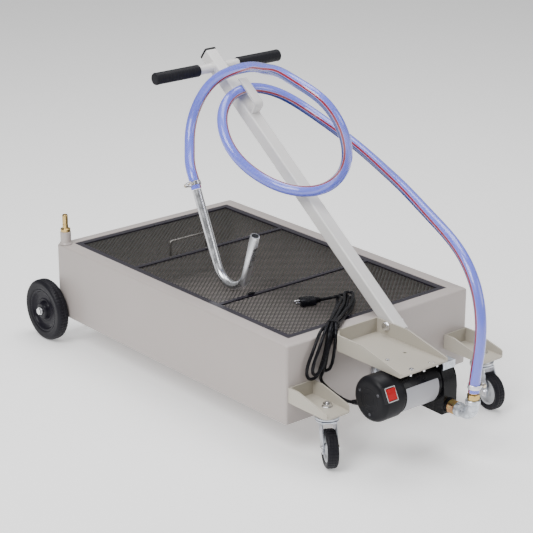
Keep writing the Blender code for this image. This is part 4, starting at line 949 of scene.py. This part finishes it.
def power_plug(run):
    """Moulded plug with three ribs at its neck and a three-prong face."""
    across = Vector((0, 0, 1)).cross(run).normalized()
    up = run.cross(across)
    sections = [*PLUG_NECK]
    for rib in range(3):
        base = 2.4 + rib * 3.6
        wide = 5.8 + rib * 0.6
        sections += [(base, wide, wide), (base + 1.8, wide + 0.3, wide + 0.2),
                     (base + 2, wide - 1.1, wide - 1.1), (base + 3.2, wide - 1, wide - 1)]
    rings = []
    for along, half_width, half_height in (*sections, *PLUG_BODY):
        middle = PLUG_TAIL + run * along
        rings.append([middle + across * (squared(math.cos(turn)) * half_width)
                      + up * (squared(math.sin(turn)) * half_height) for turn in turns_round(40)])
    body = Soup()
    body.loft(rings)
    shell = body.piece("plug_body", CORD, "tank", "cord_black", ["power_plug"], sharp=28)
    prongs = Soup()
    for side in (-PRONG_SIDE, PRONG_SIDE):
        prongs.box(PLUG_TAIL + run * 56.6 + across * side, (across, up, run), (0.75, 3.1, 7))
    earth = [(0, 49), (2.2, 49), (2.2, 62.6), (1.3, 64.4), (0, 64.4)]
    prongs.turned(rounded(earth, 0.6), PLUG_TAIL + up * EARTH_RISE, run, 24)
    pins = prongs.piece("plug_prongs", STEEL, "tank", "bright_steel")
    add_bevel(pins, 0.3)
    return [shell, pins]


# ---------------------------------------------------------------- profiles

CORNER_STEPS = 3


def rounded(profile, radius):
    """Profile with its corners eased; a profile off the axis is treated as a loop."""
    loop = profile[0][0] > 0 and profile[-1][0] > 0
    made = []
    count = len(profile)
    for index, point in enumerate(profile):
        if not loop and index in (0, count - 1):
            made.append(point)
            continue
        here = Vector(point)
        before = Vector(profile[index - 1])
        after = Vector(profile[(index + 1) % count])
        reach_in = min(radius, (here - before).length * 0.45)
        reach_out = min(radius, (after - here).length * 0.45)
        start = here + (before - here).normalized() * reach_in
        end = here + (after - here).normalized() * reach_out
        for step in range(CORNER_STEPS + 1):
            t = step / CORNER_STEPS
            eased = start * (1 - t) ** 2 + here * 2 * t * (1 - t) + end * t ** 2
            made.append((eased.x, eased.y))
    return made


def mirrored(half):
    """Profile continued by its mirror image across the wheel's middle."""
    return [*half, *((radius, -along) for radius, along in reversed(half))]


def turned_piece(name, profile, centre, direction, material, body, slot, replaced=(), sides=96,
                 ease=0.6, ripple=None, sharp=35):
    """One lathe-turned piece with eased corners."""
    soup = Soup()
    soup.turned(rounded(profile, ease), centre, direction, sides, ripple)
    return soup.piece(name, material, body, slot, replaced, sharp)


# A sixth of a turn, the recess of a screw as a share of its head, and a washer's height.
SIXTH = math.pi / 3
RECESS = 0.55
WASHER_HEIGHT = 1.2


def screw_head(soup, centre, direction, radius, height):
    """Pan head with a hex recess."""
    bore = radius * RECESS

    def socket(turn, reach):
        if reach > bore + 0.01:
            return reach
        return reach * math.cos(SIXTH / 2) / math.cos(math.remainder(turn, SIXTH))

    profile = [(0, -0.6), (radius, -0.6), (radius, height * 0.5), (radius * 0.86, height),
               (bore, height), (bore, height * 0.4), (0, height * 0.4)]
    soup.turned(profile, centre, direction, 24, socket)


def hex_bolt(soup, centre, direction, across, height, washer=0):
    """Hex head with a chamfer on an optional washer."""
    base = WASHER_HEIGHT if washer else 0
    if washer:
        soup.disc(washer, 0, base, centre, direction, 36, 0.3)
    corner = across / math.sqrt(3)
    top = base + height

    def six(turn, reach):
        return min(reach, across / 2 / math.cos(math.remainder(turn, SIXTH)))

    profile = [(0, base), (corner, base), (corner, top - 0.9), (corner * 0.93, top - 0.2),
               (corner * 0.80, top), (0, top)]
    soup.turned(profile, centre, direction, 48, six)


# ---------------------------------------------------------------- grates

AXES = ((1, 0, 0), (0, 1, 0), (0, 0, 1))
BAIL_X = 263.9
BAIL_Y = (158, 269)
BAIL_CORNER = 6
BAIL_RADIUS = 2.5
MAIN_MESH_X = (268.7, 847)
SCREEN_MESH_X = (28.8, 265.7)
MESH_Y = (38.5, 523.5)
MESH_PITCH_X = 5.6
MESH_PITCH_Y = 6.6
MESH_LOW = 180.95
MESH_HIGH = 182.4
STRAND_WIDTH = 1.7
STRAND_TILT = 0.5


def expanded_mesh(name, span, body, replaced):
    """Expanded metal: zigzag strands that touch their neighbours at the bonds."""
    x0, x1 = span
    y0, y1 = MESH_Y
    rows = int((x1 - x0 - 4) / MESH_PITCH_X)
    steps = int((y1 - y0 - 2) / MESH_PITCH_Y)
    swing = MESH_PITCH_X / 2 - STRAND_WIDTH * 0.35
    half = STRAND_WIDTH / 2
    margin_x = (x1 - x0 - rows * MESH_PITCH_X) / 2
    margin_y = (y1 - y0 - steps * MESH_PITCH_Y) / 2
    soup = Soup()
    for row in range(rows + 1):
        middle = x0 + margin_x + row * MESH_PITCH_X
        rings = []
        for step in range(steps + 1):
            sign = 1 if (row + step) % 2 else -1
            x = middle + sign * swing * (1 if 0 < row < rows else 0.3)
            y = y0 + margin_y + step * MESH_PITCH_Y
            tilt = sign * STRAND_TILT
            rings.append([(x - half, y, MESH_LOW - tilt * 0.3), (x + half, y, MESH_LOW + tilt * 0.3),
                          (x + half, y, MESH_HIGH + tilt), (x - half, y, MESH_HIGH - tilt)])
        soup.loft(rings)
    soup.piece(name, MESH, body, "mesh_steel", replaced, sharp=20)


def grates():
    """Both meshes, a pad on the main grate, and the wire bail with its feet."""
    expanded_mesh("main_expanded_mesh", MAIN_MESH_X, "tank", ["main_grate_mesh"])
    expanded_mesh("screen_expanded_mesh", SCREEN_MESH_X, "lift_screen", ["lift_screen_mesh"])
    nub = Soup()
    nub.box((588.5, 147, 189), AXES, (3.2, 9, 2.4))
    add_bevel(nub.piece("grate_rest_pad", CAP_BLACK, "tank", "black_plastic"), 1, 3)
    near, far = BAIL_Y
    places = [(near, 186.8), (near, 215)]
    for corner, begin in ((near + BAIL_CORNER, 180), (far - BAIL_CORNER, 90)):
        for step in range(9):
            turn = math.radians(begin - 90 * step / 8)
            places.append((corner + BAIL_CORNER * math.cos(turn),
                           222 + BAIL_CORNER * math.sin(turn)))
    places += [(far, 215), (far, 186.8)]
    points = [Vector((BAIL_X, *place)) for place in places]
    rings = []
    for index, point in enumerate(points):
        before = points[max(index - 1, 0)]
        after = points[min(index + 1, len(points) - 1)]
        first, second, _ = basis(after - before, (1, 0, 0))
        rings.append([point + spoke(first, second, turn) * BAIL_RADIUS for turn in turns_round(16)])
    wire = Soup()
    wire.loft(rings)
    weld = [(0, 186.7), (3.4, 186.7), (3.2, 187.6), (2.6, 188.8), (0, 188.8)]
    for foot in BAIL_Y:
        wire.turned(rounded(weld, 0.4), (BAIL_X, foot, 0), UPWARD, 24)
    wire.piece("bail_wire", GRATE_WIRE, "lift_screen", "grate_steel", ["grate_bail"])


# ---------------------------------------------------------------- wheels

# Profiles in millimetres as radius and distance along the axle, from the hub's near end.
REAR_TYRE = mirrored((
    (55.3, -13.5), (60, -15.2), (66, -15.6), (70, -16), (74.5, -14.6), (78, -10.5),
    (79, -6.5), (79, -2.2), (78.1, -1.8)))
REAR_HUB = (
    (7.4, -15), (20, -15), (22, -4), (44, -4), (50, -13), (55.1, -13),
    (55.1, 13.2), (53, 13.8), (50.5, 13), (47, 8.6), (40, 5.6), (31, 5.2), (28.5, 7),
    (26, 7.2), (24, 6), (21.5, 12), (20.5, 16), (17.8, 18.6), (12.5, 19), (11.5, 17.6),
    (7.4, 17.4))
CASTER_RACES = (
    (0, 58), (6.6, 58), (6.6, 53.7), (24, 53.7), (27, 52.6), (28, 49.5), (27.4, 46.6),
    (25, 44), (24.2, 41), (25.2, 38.6), (27.6, 36.6), (28, 33.6), (26.6, 31),
    (24, 30), (6, 30), (6, 26.4), (10, 26.4), (10, 23), (0, 22.2))
CASTER_TYRE = mirrored((
    (30.3, -10.5), (34, -12), (39, -13), (42.2, -11.2), (43.8, -8), (44, -4.8),
    (43.3, -4.3), (43.3, -2.9), (44, -2.4)))
CASTER_HUB = mirrored((
    (5.4, -13), (11, -13), (12.4, -11), (13, -6), (24.5, -5.2), (27, -10),
    (30.1, -10.4)))
# Axle of the rear wheels and trail and drop of a caster's axle from its kingpin.
REAR_AXLE = (-28, 7)
CASTER_TRAIL = 33
CASTER_DROP = -28


def ribbed(ribs, radius, depth):
    """Ripple for a tread: shallow cross grooves on the outer surface only."""
    def shape(turn, reach):
        if reach < radius - 2:
            return reach
        return reach - depth * max(0, math.cos(turn * ribs)) ** 0.5
    return shape


def rear_wheel(side, way, centre_y, nut_y):
    """Solid rubber tyre with fine ribs, a dished black hub with a raised ring, and the nut."""
    x, z = REAR_AXLE
    centre = (x, centre_y, z)
    outward = (0, way, 0)
    body = "rear_wheel_" + side
    turned_piece("rear_tyre_tread_" + side, REAR_TYRE, centre, outward, TYRE, body, "rubber",
                 ["rear_tyre_" + side], 480, 0.8, ribbed(60, 79, 0.7), 50)
    turned_piece("rear_hub_dish_" + side, REAR_HUB, centre, outward, DARK_HUB, body, "dark_hub",
                 ["rear_hub_" + side], 96, 0.9)
    nut = Soup()
    face = (x, nut_y, z)
    hex_bolt(nut, face, outward, 16, 4.6, washer=10)
    tip = [(0, 5), (4.6, 5), (4.6, 5.8), (4, 6), (0, 6)]
    nut.turned(rounded(tip, 0.4), face, outward, 32)
    nut.piece("axle_nut_hex_" + side, STEEL, "tank", "bright_steel", ["axle_nut_" + side])


def caster(side, king, heading):
    """Double-race swivel caster: kingpin and races, its nut, wheel and bolt."""
    turn = math.radians(heading)
    rolling = Vector((math.cos(turn), math.sin(turn), 0))
    axle = Vector((-math.sin(turn), math.cos(turn), 0))
    base = Vector((*king, 0))
    centre = base + rolling * CASTER_TRAIL + Vector((0, 0, CASTER_DROP))
    wheel = "caster_wheel_" + side
    turned_piece("caster_race_" + side, CASTER_RACES, base, UPWARD, ZINC, "tank", "zinc_plate",
                 ["caster_kingpin_" + side], 72, 0.9)
    nut = Soup()
    hex_bolt(nut, base + Vector((0, 0, 58.2)), UPWARD, 19, 6.4, washer=12.5)
    tip = [(0, 64), (5.6, 64), (5.6, 68.2), (4.8, 69.2), (0, 69.2)]
    nut.turned(rounded(tip, 0.5), base, UPWARD, 32)
    nut.piece("caster_king_nut_" + side, STEEL, "tank", "bright_steel")
    turned_piece("caster_tread_" + side, CASTER_TYRE, centre, axle, TYRE, wheel, "rubber",
                 ["caster_tyre_" + side], 288, 0.5, ribbed(36, 44, 0.6), 50)
    turned_piece("caster_hub_disc_" + side, CASTER_HUB, centre, axle, GREY_HUB, wheel, "grey_hub",
                 ["caster_hub_" + side], 64, 0.7)
    bolt = Soup()
    for way, washer in ((-1, 8.9), (1, 0)):
        hex_bolt(bolt, centre + axle * way * 17.3, axle * way, 13.5, 3.8, washer)
    bolt.disc(5, -17.3, 17.3, centre, axle, 32, 0)
    bolt.piece("caster_bolt_hex_" + side, STEEL, "fork_" + side, "bright_steel",
               ["caster_axle_bolt_" + side])


# ---------------------------------------------------------------- fittings

# Line of the outlet: its y and z, where the elbow turns up, its bend radius and the barb's x.
OUTLET_Y = 273
OUTLET_Z = 50.6
ELBOW_X = 1185
ELBOW_BEND = 21
BARB_X = 1186
# Collars of the elbow as place along the line, or height, and radius.
ELBOW_ENTRY = ((1141.3, 15.4), (1142.6, 16.5), (1150.4, 16.5), (1151.8, 15.4), (1154, 13.6))
ELBOW_EXIT = ((75, 13.8), (77, 15.4), (78.4, 16.5), (86.6, 16.5), (88, 15.4))
VENT_PLACE = (17, 16, 0)


def sweep(soup, stations, bore, sides=56):
    """Bored tube through (centre, tangent, radius) stations in a plane of constant y."""
    outer = []
    inner = []
    for centre, tangent, radius in stations:
        second = Vector(tangent).normalized().cross(SIDEWAYS)
        spokes = [spoke(SIDEWAYS, second, turn) for turn in turns_round(sides)]
        outer.append([Vector(centre) + out * radius for out in spokes])
        inner.append([Vector(centre) + out * bore for out in spokes])
    soup.loft(outer + inner[::-1], closed=True)


def outlet():
    """Yellow hex bushing, galvanised elbow with beaded collars, brass barb nut, suction pipe."""
    bushing = Soup()
    ferrule = [(8, 1121.2), (15.2, 1121.2), (15.2, 1124), (8, 1124)]
    bushing.turned(rounded(ferrule, 0.4), (0, OUTLET_Y, OUTLET_Z), ALONG, 48)
    hex_bolt(bushing, (1124, OUTLET_Y, OUTLET_Z), ALONG, 30.4, 16.8)
    bushing.piece("outlet_hex_bushing", YELLOW_ZINC, "tank", "yellow_zinc", ["outlet_bushing"])
    stations = [((x, OUTLET_Y, OUTLET_Z), ALONG, radius) for x, radius in ELBOW_ENTRY]
    for step in range(13):
        turn = math.radians(7.5 * step)
        point = (ELBOW_X - ELBOW_BEND + ELBOW_BEND * math.sin(turn), OUTLET_Y,
                 OUTLET_Z + ELBOW_BEND - ELBOW_BEND * math.cos(turn))
        stations.append((point, (math.cos(turn), 0, math.sin(turn)), 14.2))
    stations += [((ELBOW_X, OUTLET_Y, z), UPWARD, radius) for z, radius in ELBOW_EXIT]
    elbow = Soup()
    sweep(elbow, stations, 9)
    elbow.piece("outlet_cast_elbow", GALVANISED, "tank", "galvanised", ["outlet_elbow"])
    line = (BARB_X, OUTLET_Y, 0)
    barb = Soup()
    barb.disc(12.2, 88.2, 90.4, line, UPWARD, 48)
    hex_bolt(barb, (BARB_X, OUTLET_Y, 90.4), UPWARD, 24.2, 11)
    barb.disc(9.6, 101, 105.2, line, UPWARD, 48)
    barb.piece("hose_barb_hex", BRASS, "tank", "brass", ["hose_barb"])
    pipe = [(10, 872), (13.5, 872), (13.5, 886.4), (20, 886.4), (20, 896),
            (14.6, 897), (13.5, 899), (13.5, 999), (17, 1001), (17, 1012.6),
            (10, 1012.6)]
    turned_piece("suction_pipe_union", pipe, (0, OUTLET_Y, 60), ALONG, GALVANISED, "tank",
                 "galvanised", ["suction_pipe"], 64, 0.8)


def vent():
    """Painted socket with a welded foot and the turned brass vent."""
    boss = [(4, 188.3), (16, 188.3), (16.6, 189.6), (15.4, 191.6), (13.9, 193.6),
            (13.5, 196), (13.5, 219.4), (12.8, 221), (4, 221)]
    turned_piece("vent_socket", boss, VENT_PLACE, UPWARD, PAINT, "tank", "tank_paint",
                 ["vent_boss"], 64)
    stem = [(4, 221.3), (12.5, 221.3), (12.5, 228.2), (11.2, 229.2), (8, 229.4), (7.2, 231),
            (7.2, 240), (6.8, 240.6), (6.8, 241.6), (7.2, 242.2), (7.2, 262.6), (6.2, 265),
            (4, 265)]
    turned_piece("vent_brass_stem", stem, VENT_PLACE, UPWARD, BRASS, "tank", "brass",
                 ["vent_fitting"], 64, 0.5)

# ---------------------------------------------------------------- motor and pump

MOTOR = (1063.9, 0, 99.7)
# Foil label: levels along the motor with their inset in degrees, and its arc.
LABEL_LEVELS = ((147, 2), (149, 0), (241, 0), (243, 2))
LABEL_BEGIN = -78
LABEL_ARC = 104
LABEL_STEPS = 48
SWITCH_TURN = math.radians(27)
# Screws through the pump bracket plate: x, y and head radius; and the y of the tips below it.
PLATE_SCREWS = ((1027, 167.5, 4.8), (1098, 171, 5.6), (1095.5, 227, 2.4),
                (1101.5, 235, 2.4))
TIP_Y = (166, 206, 246)


def round_motor(radius, degrees, y):
    """Point round the motor's axis."""
    turn = math.radians(degrees)
    return (MOTOR[0] + radius * math.cos(turn), y, MOTOR[2] + radius * math.sin(turn))


def motor():
    """Black housing with a plain foil label, cap screws and rings, switch trim, head bolts."""
    shell = [(44, 135), (47.4, 135), (48, 136), (48, 142), (47.2, 142.6),
             (47.2, 144), (48, 144.6), (48, 246), (47.2, 246.6), (47.2, 248),
             (48, 248.6), (48, 254), (47.4, 254.7), (44, 254.7)]
    turned_piece("motor_shell", shell, MOTOR, SIDEWAYS, BLACK_HOUSING, "tank", "label_silver",
                 ["motor_housing"], 128, 0.5)
    rings = []
    for y, inset in LABEL_LEVELS:
        pitch = LABEL_ARC - 2 * inset
        turns = [LABEL_BEGIN + inset + step * pitch / LABEL_STEPS for step in range(LABEL_STEPS + 1)]
        rings.append([round_motor(48.35, turn, y) for turn in turns]
                     + [round_motor(48.02, turn, y) for turn in reversed(turns)])
    label = Soup()
    label.loft(rings)
    label.piece("motor_foil_label", LABEL, "tank", "label_silver")
    screws = Soup()
    for turn in (35, 155, 275):
        screw_head(screws, round_motor(33, turn, 80), -SIDEWAYS, 3.6, 1)
    screws.piece("motor_cap_screws", DARK_SCREW, "tank", "bright_steel")
    outward = Vector((math.cos(SWITCH_TURN), 0, math.sin(SWITCH_TURN)))
    across = Vector((-outward.z, 0, outward.x))
    spot = Vector(MOTOR) + outward * 56.15 + SIDEWAYS * 98
    trim = Soup()
    for way in (-1, 1):
        trim.box(spot + across * way * 15.4, (across, SIDEWAYS, outward), (0.7, 14.6, 0.35))
        trim.box(spot + SIDEWAYS * way * 13.9, (across, SIDEWAYS, outward), (16.1, 0.7, 0.35))
    trim.piece("switch_trim", TRIM_WHITE, "tank", "label_silver")
    disc = [(0, 79.4), (14, 79.4), (15, 80.2), (0, 80.2)]
    ring = [(24, 79.5), (26, 79.5), (26.4, 80.2), (23.6, 80.2)]
    face = Soup()
    face.turned(rounded(disc, 0.3), MOTOR, SIDEWAYS, 64)
    face.turned(rounded(ring, 0.3), MOTOR, SIDEWAYS, 96)
    face.piece("motor_cap_rings", CAP_BLACK, "tank", "black_plastic")
    bolts = Soup()
    for turn in (45, 135, 215, 325):
        screw_head(bolts, round_motor(41, turn, 297), SIDEWAYS, 4.6, 4.2)
    bolts.piece("pump_cover_bolts", STEEL, "tank", "bright_steel")


def bracket_hardware():
    """Screws through the pump bracket plate and their tips under its front edge."""
    soup = Soup()
    for x, y, radius in PLATE_SCREWS:
        screw_head(soup, (x, y, 157), UPWARD, radius, radius * 0.4)
    tip = [(0, 143.5), (3, 143.5), (3.6, 144.5), (3.6, 152.9), (0, 152.9)]
    for y in TIP_Y:
        soup.turned(rounded(tip, 0.4), (1100, y, 0), UPWARD, 24)
    soup.piece("bracket_screws", STEEL, "tank", "bright_steel")


# ---------------------------------------------------------------- handle

PIVOT = Vector((922, 0, 179.5))
LEAN = math.radians(37)
UP = Vector((-math.cos(LEAN), 0, math.sin(LEAN)))
BAR_UP = 785
GRIP_RINGS = 11
GRIP_PITCH = 10.2


def handle():
    """Crossbar with weld beads, grips, pivot bolt and nut."""
    bar = PIVOT + UP * BAR_UP
    soup = Soup()
    soup.disc(11.5, 100, 473, bar, SIDEWAYS, 64, 0.6)
    for y, way in ((270, -1), (303, 1)):
        bead = [(11.2, y - way * 0.3), (14.6, y - way * 0.2), (14.2, y + way * 1.2),
                (12.6, y + way * 2.6), (11.2, y + way * 3)]
        soup.turned(bead, bar, SIDEWAYS, 48)
    soup.piece("handle_bar_welded", PAINT_HANDLE, "handle", "handle_paint", ["handle_crossbar"])
    grip = [(0, 0), (11.6, 0), (14, 1.4), (14.9, 4), (14.6, 8)]
    for ring in range(GRIP_RINGS):
        base = 12 + ring * GRIP_PITCH
        grip += [(14.5, base), (14.5, base + 8.2), (14.15, base + 8.8), (14.15, base + 9.6)]
    grip += [(14.5, 124.5), (14.7, 127), (14.2, 129.4), (13.2, 130), (11.8, 130),
             (11.8, 3.2), (0, 3.2)]
    for side, end, way in (("near", 96.5, 1), ("far", 476.5, -1)):
        turned_piece("grip_sleeve_" + side, grip, bar + Vector((0, end, 0)), (0, way, 0), GRIP,
                     "handle", "grip_rubber", ["grip_" + side], 72, 0.5)
    bolt = Soup()
    hex_bolt(bolt, PIVOT + Vector((0, 263.6, 0)), -SIDEWAYS, 16, 6, washer=10.5)
    bolt.disc(5, 263.7, 312, PIVOT, SIDEWAYS, 32, 0)
    bolt.piece("pivot_bolt_hex", STEEL, "tank", "bright_steel", ["pivot_bolt"])
    washer = [(5.3, 303.4), (10.4, 303.4), (10.4, 304.4), (5.3, 304.4)]
    nut = Soup()
    nut.turned(rounded(washer, 0.3), PIVOT, SIDEWAYS, 36)
    nut.turned([(5.3, 304.5), (9.2, 304.5), (9.2, 309.6), (8.4, 310.3), (5.3, 310.3)], PIVOT,
               SIDEWAYS, 6)
    nut.piece("pivot_nut_hex", STEEL, "tank", "bright_steel", ["pivot_nut"])


# ---------------------------------------------------------------- assembly

def build():
    """Everything in view, camera and cords first."""
    add_camera()
    add_studio()
    dress_nodes()
    ends = hose_line(78)
    low_clamp = hose_clamp("clamp_band_pump", ends[0], ends[1], math.radians(90),
                           ["hose_clamp_pump"])
    high_clamp = hose_clamp("clamp_band_nozzle", ends[-1], ends[-2], 0, ["hose_clamp_nozzle"])
    transfer_hose()
    power_cord()
    grates()
    rear_wheel("near", -1, -19, -40.3)
    rear_wheel("far", 1, 579, 600.3)
    caster("near", (961, 53), -30)
    caster("far", (967, 533), -8)
    outlet()
    vent()
    motor()
    bracket_hardware()
    handle()


build()
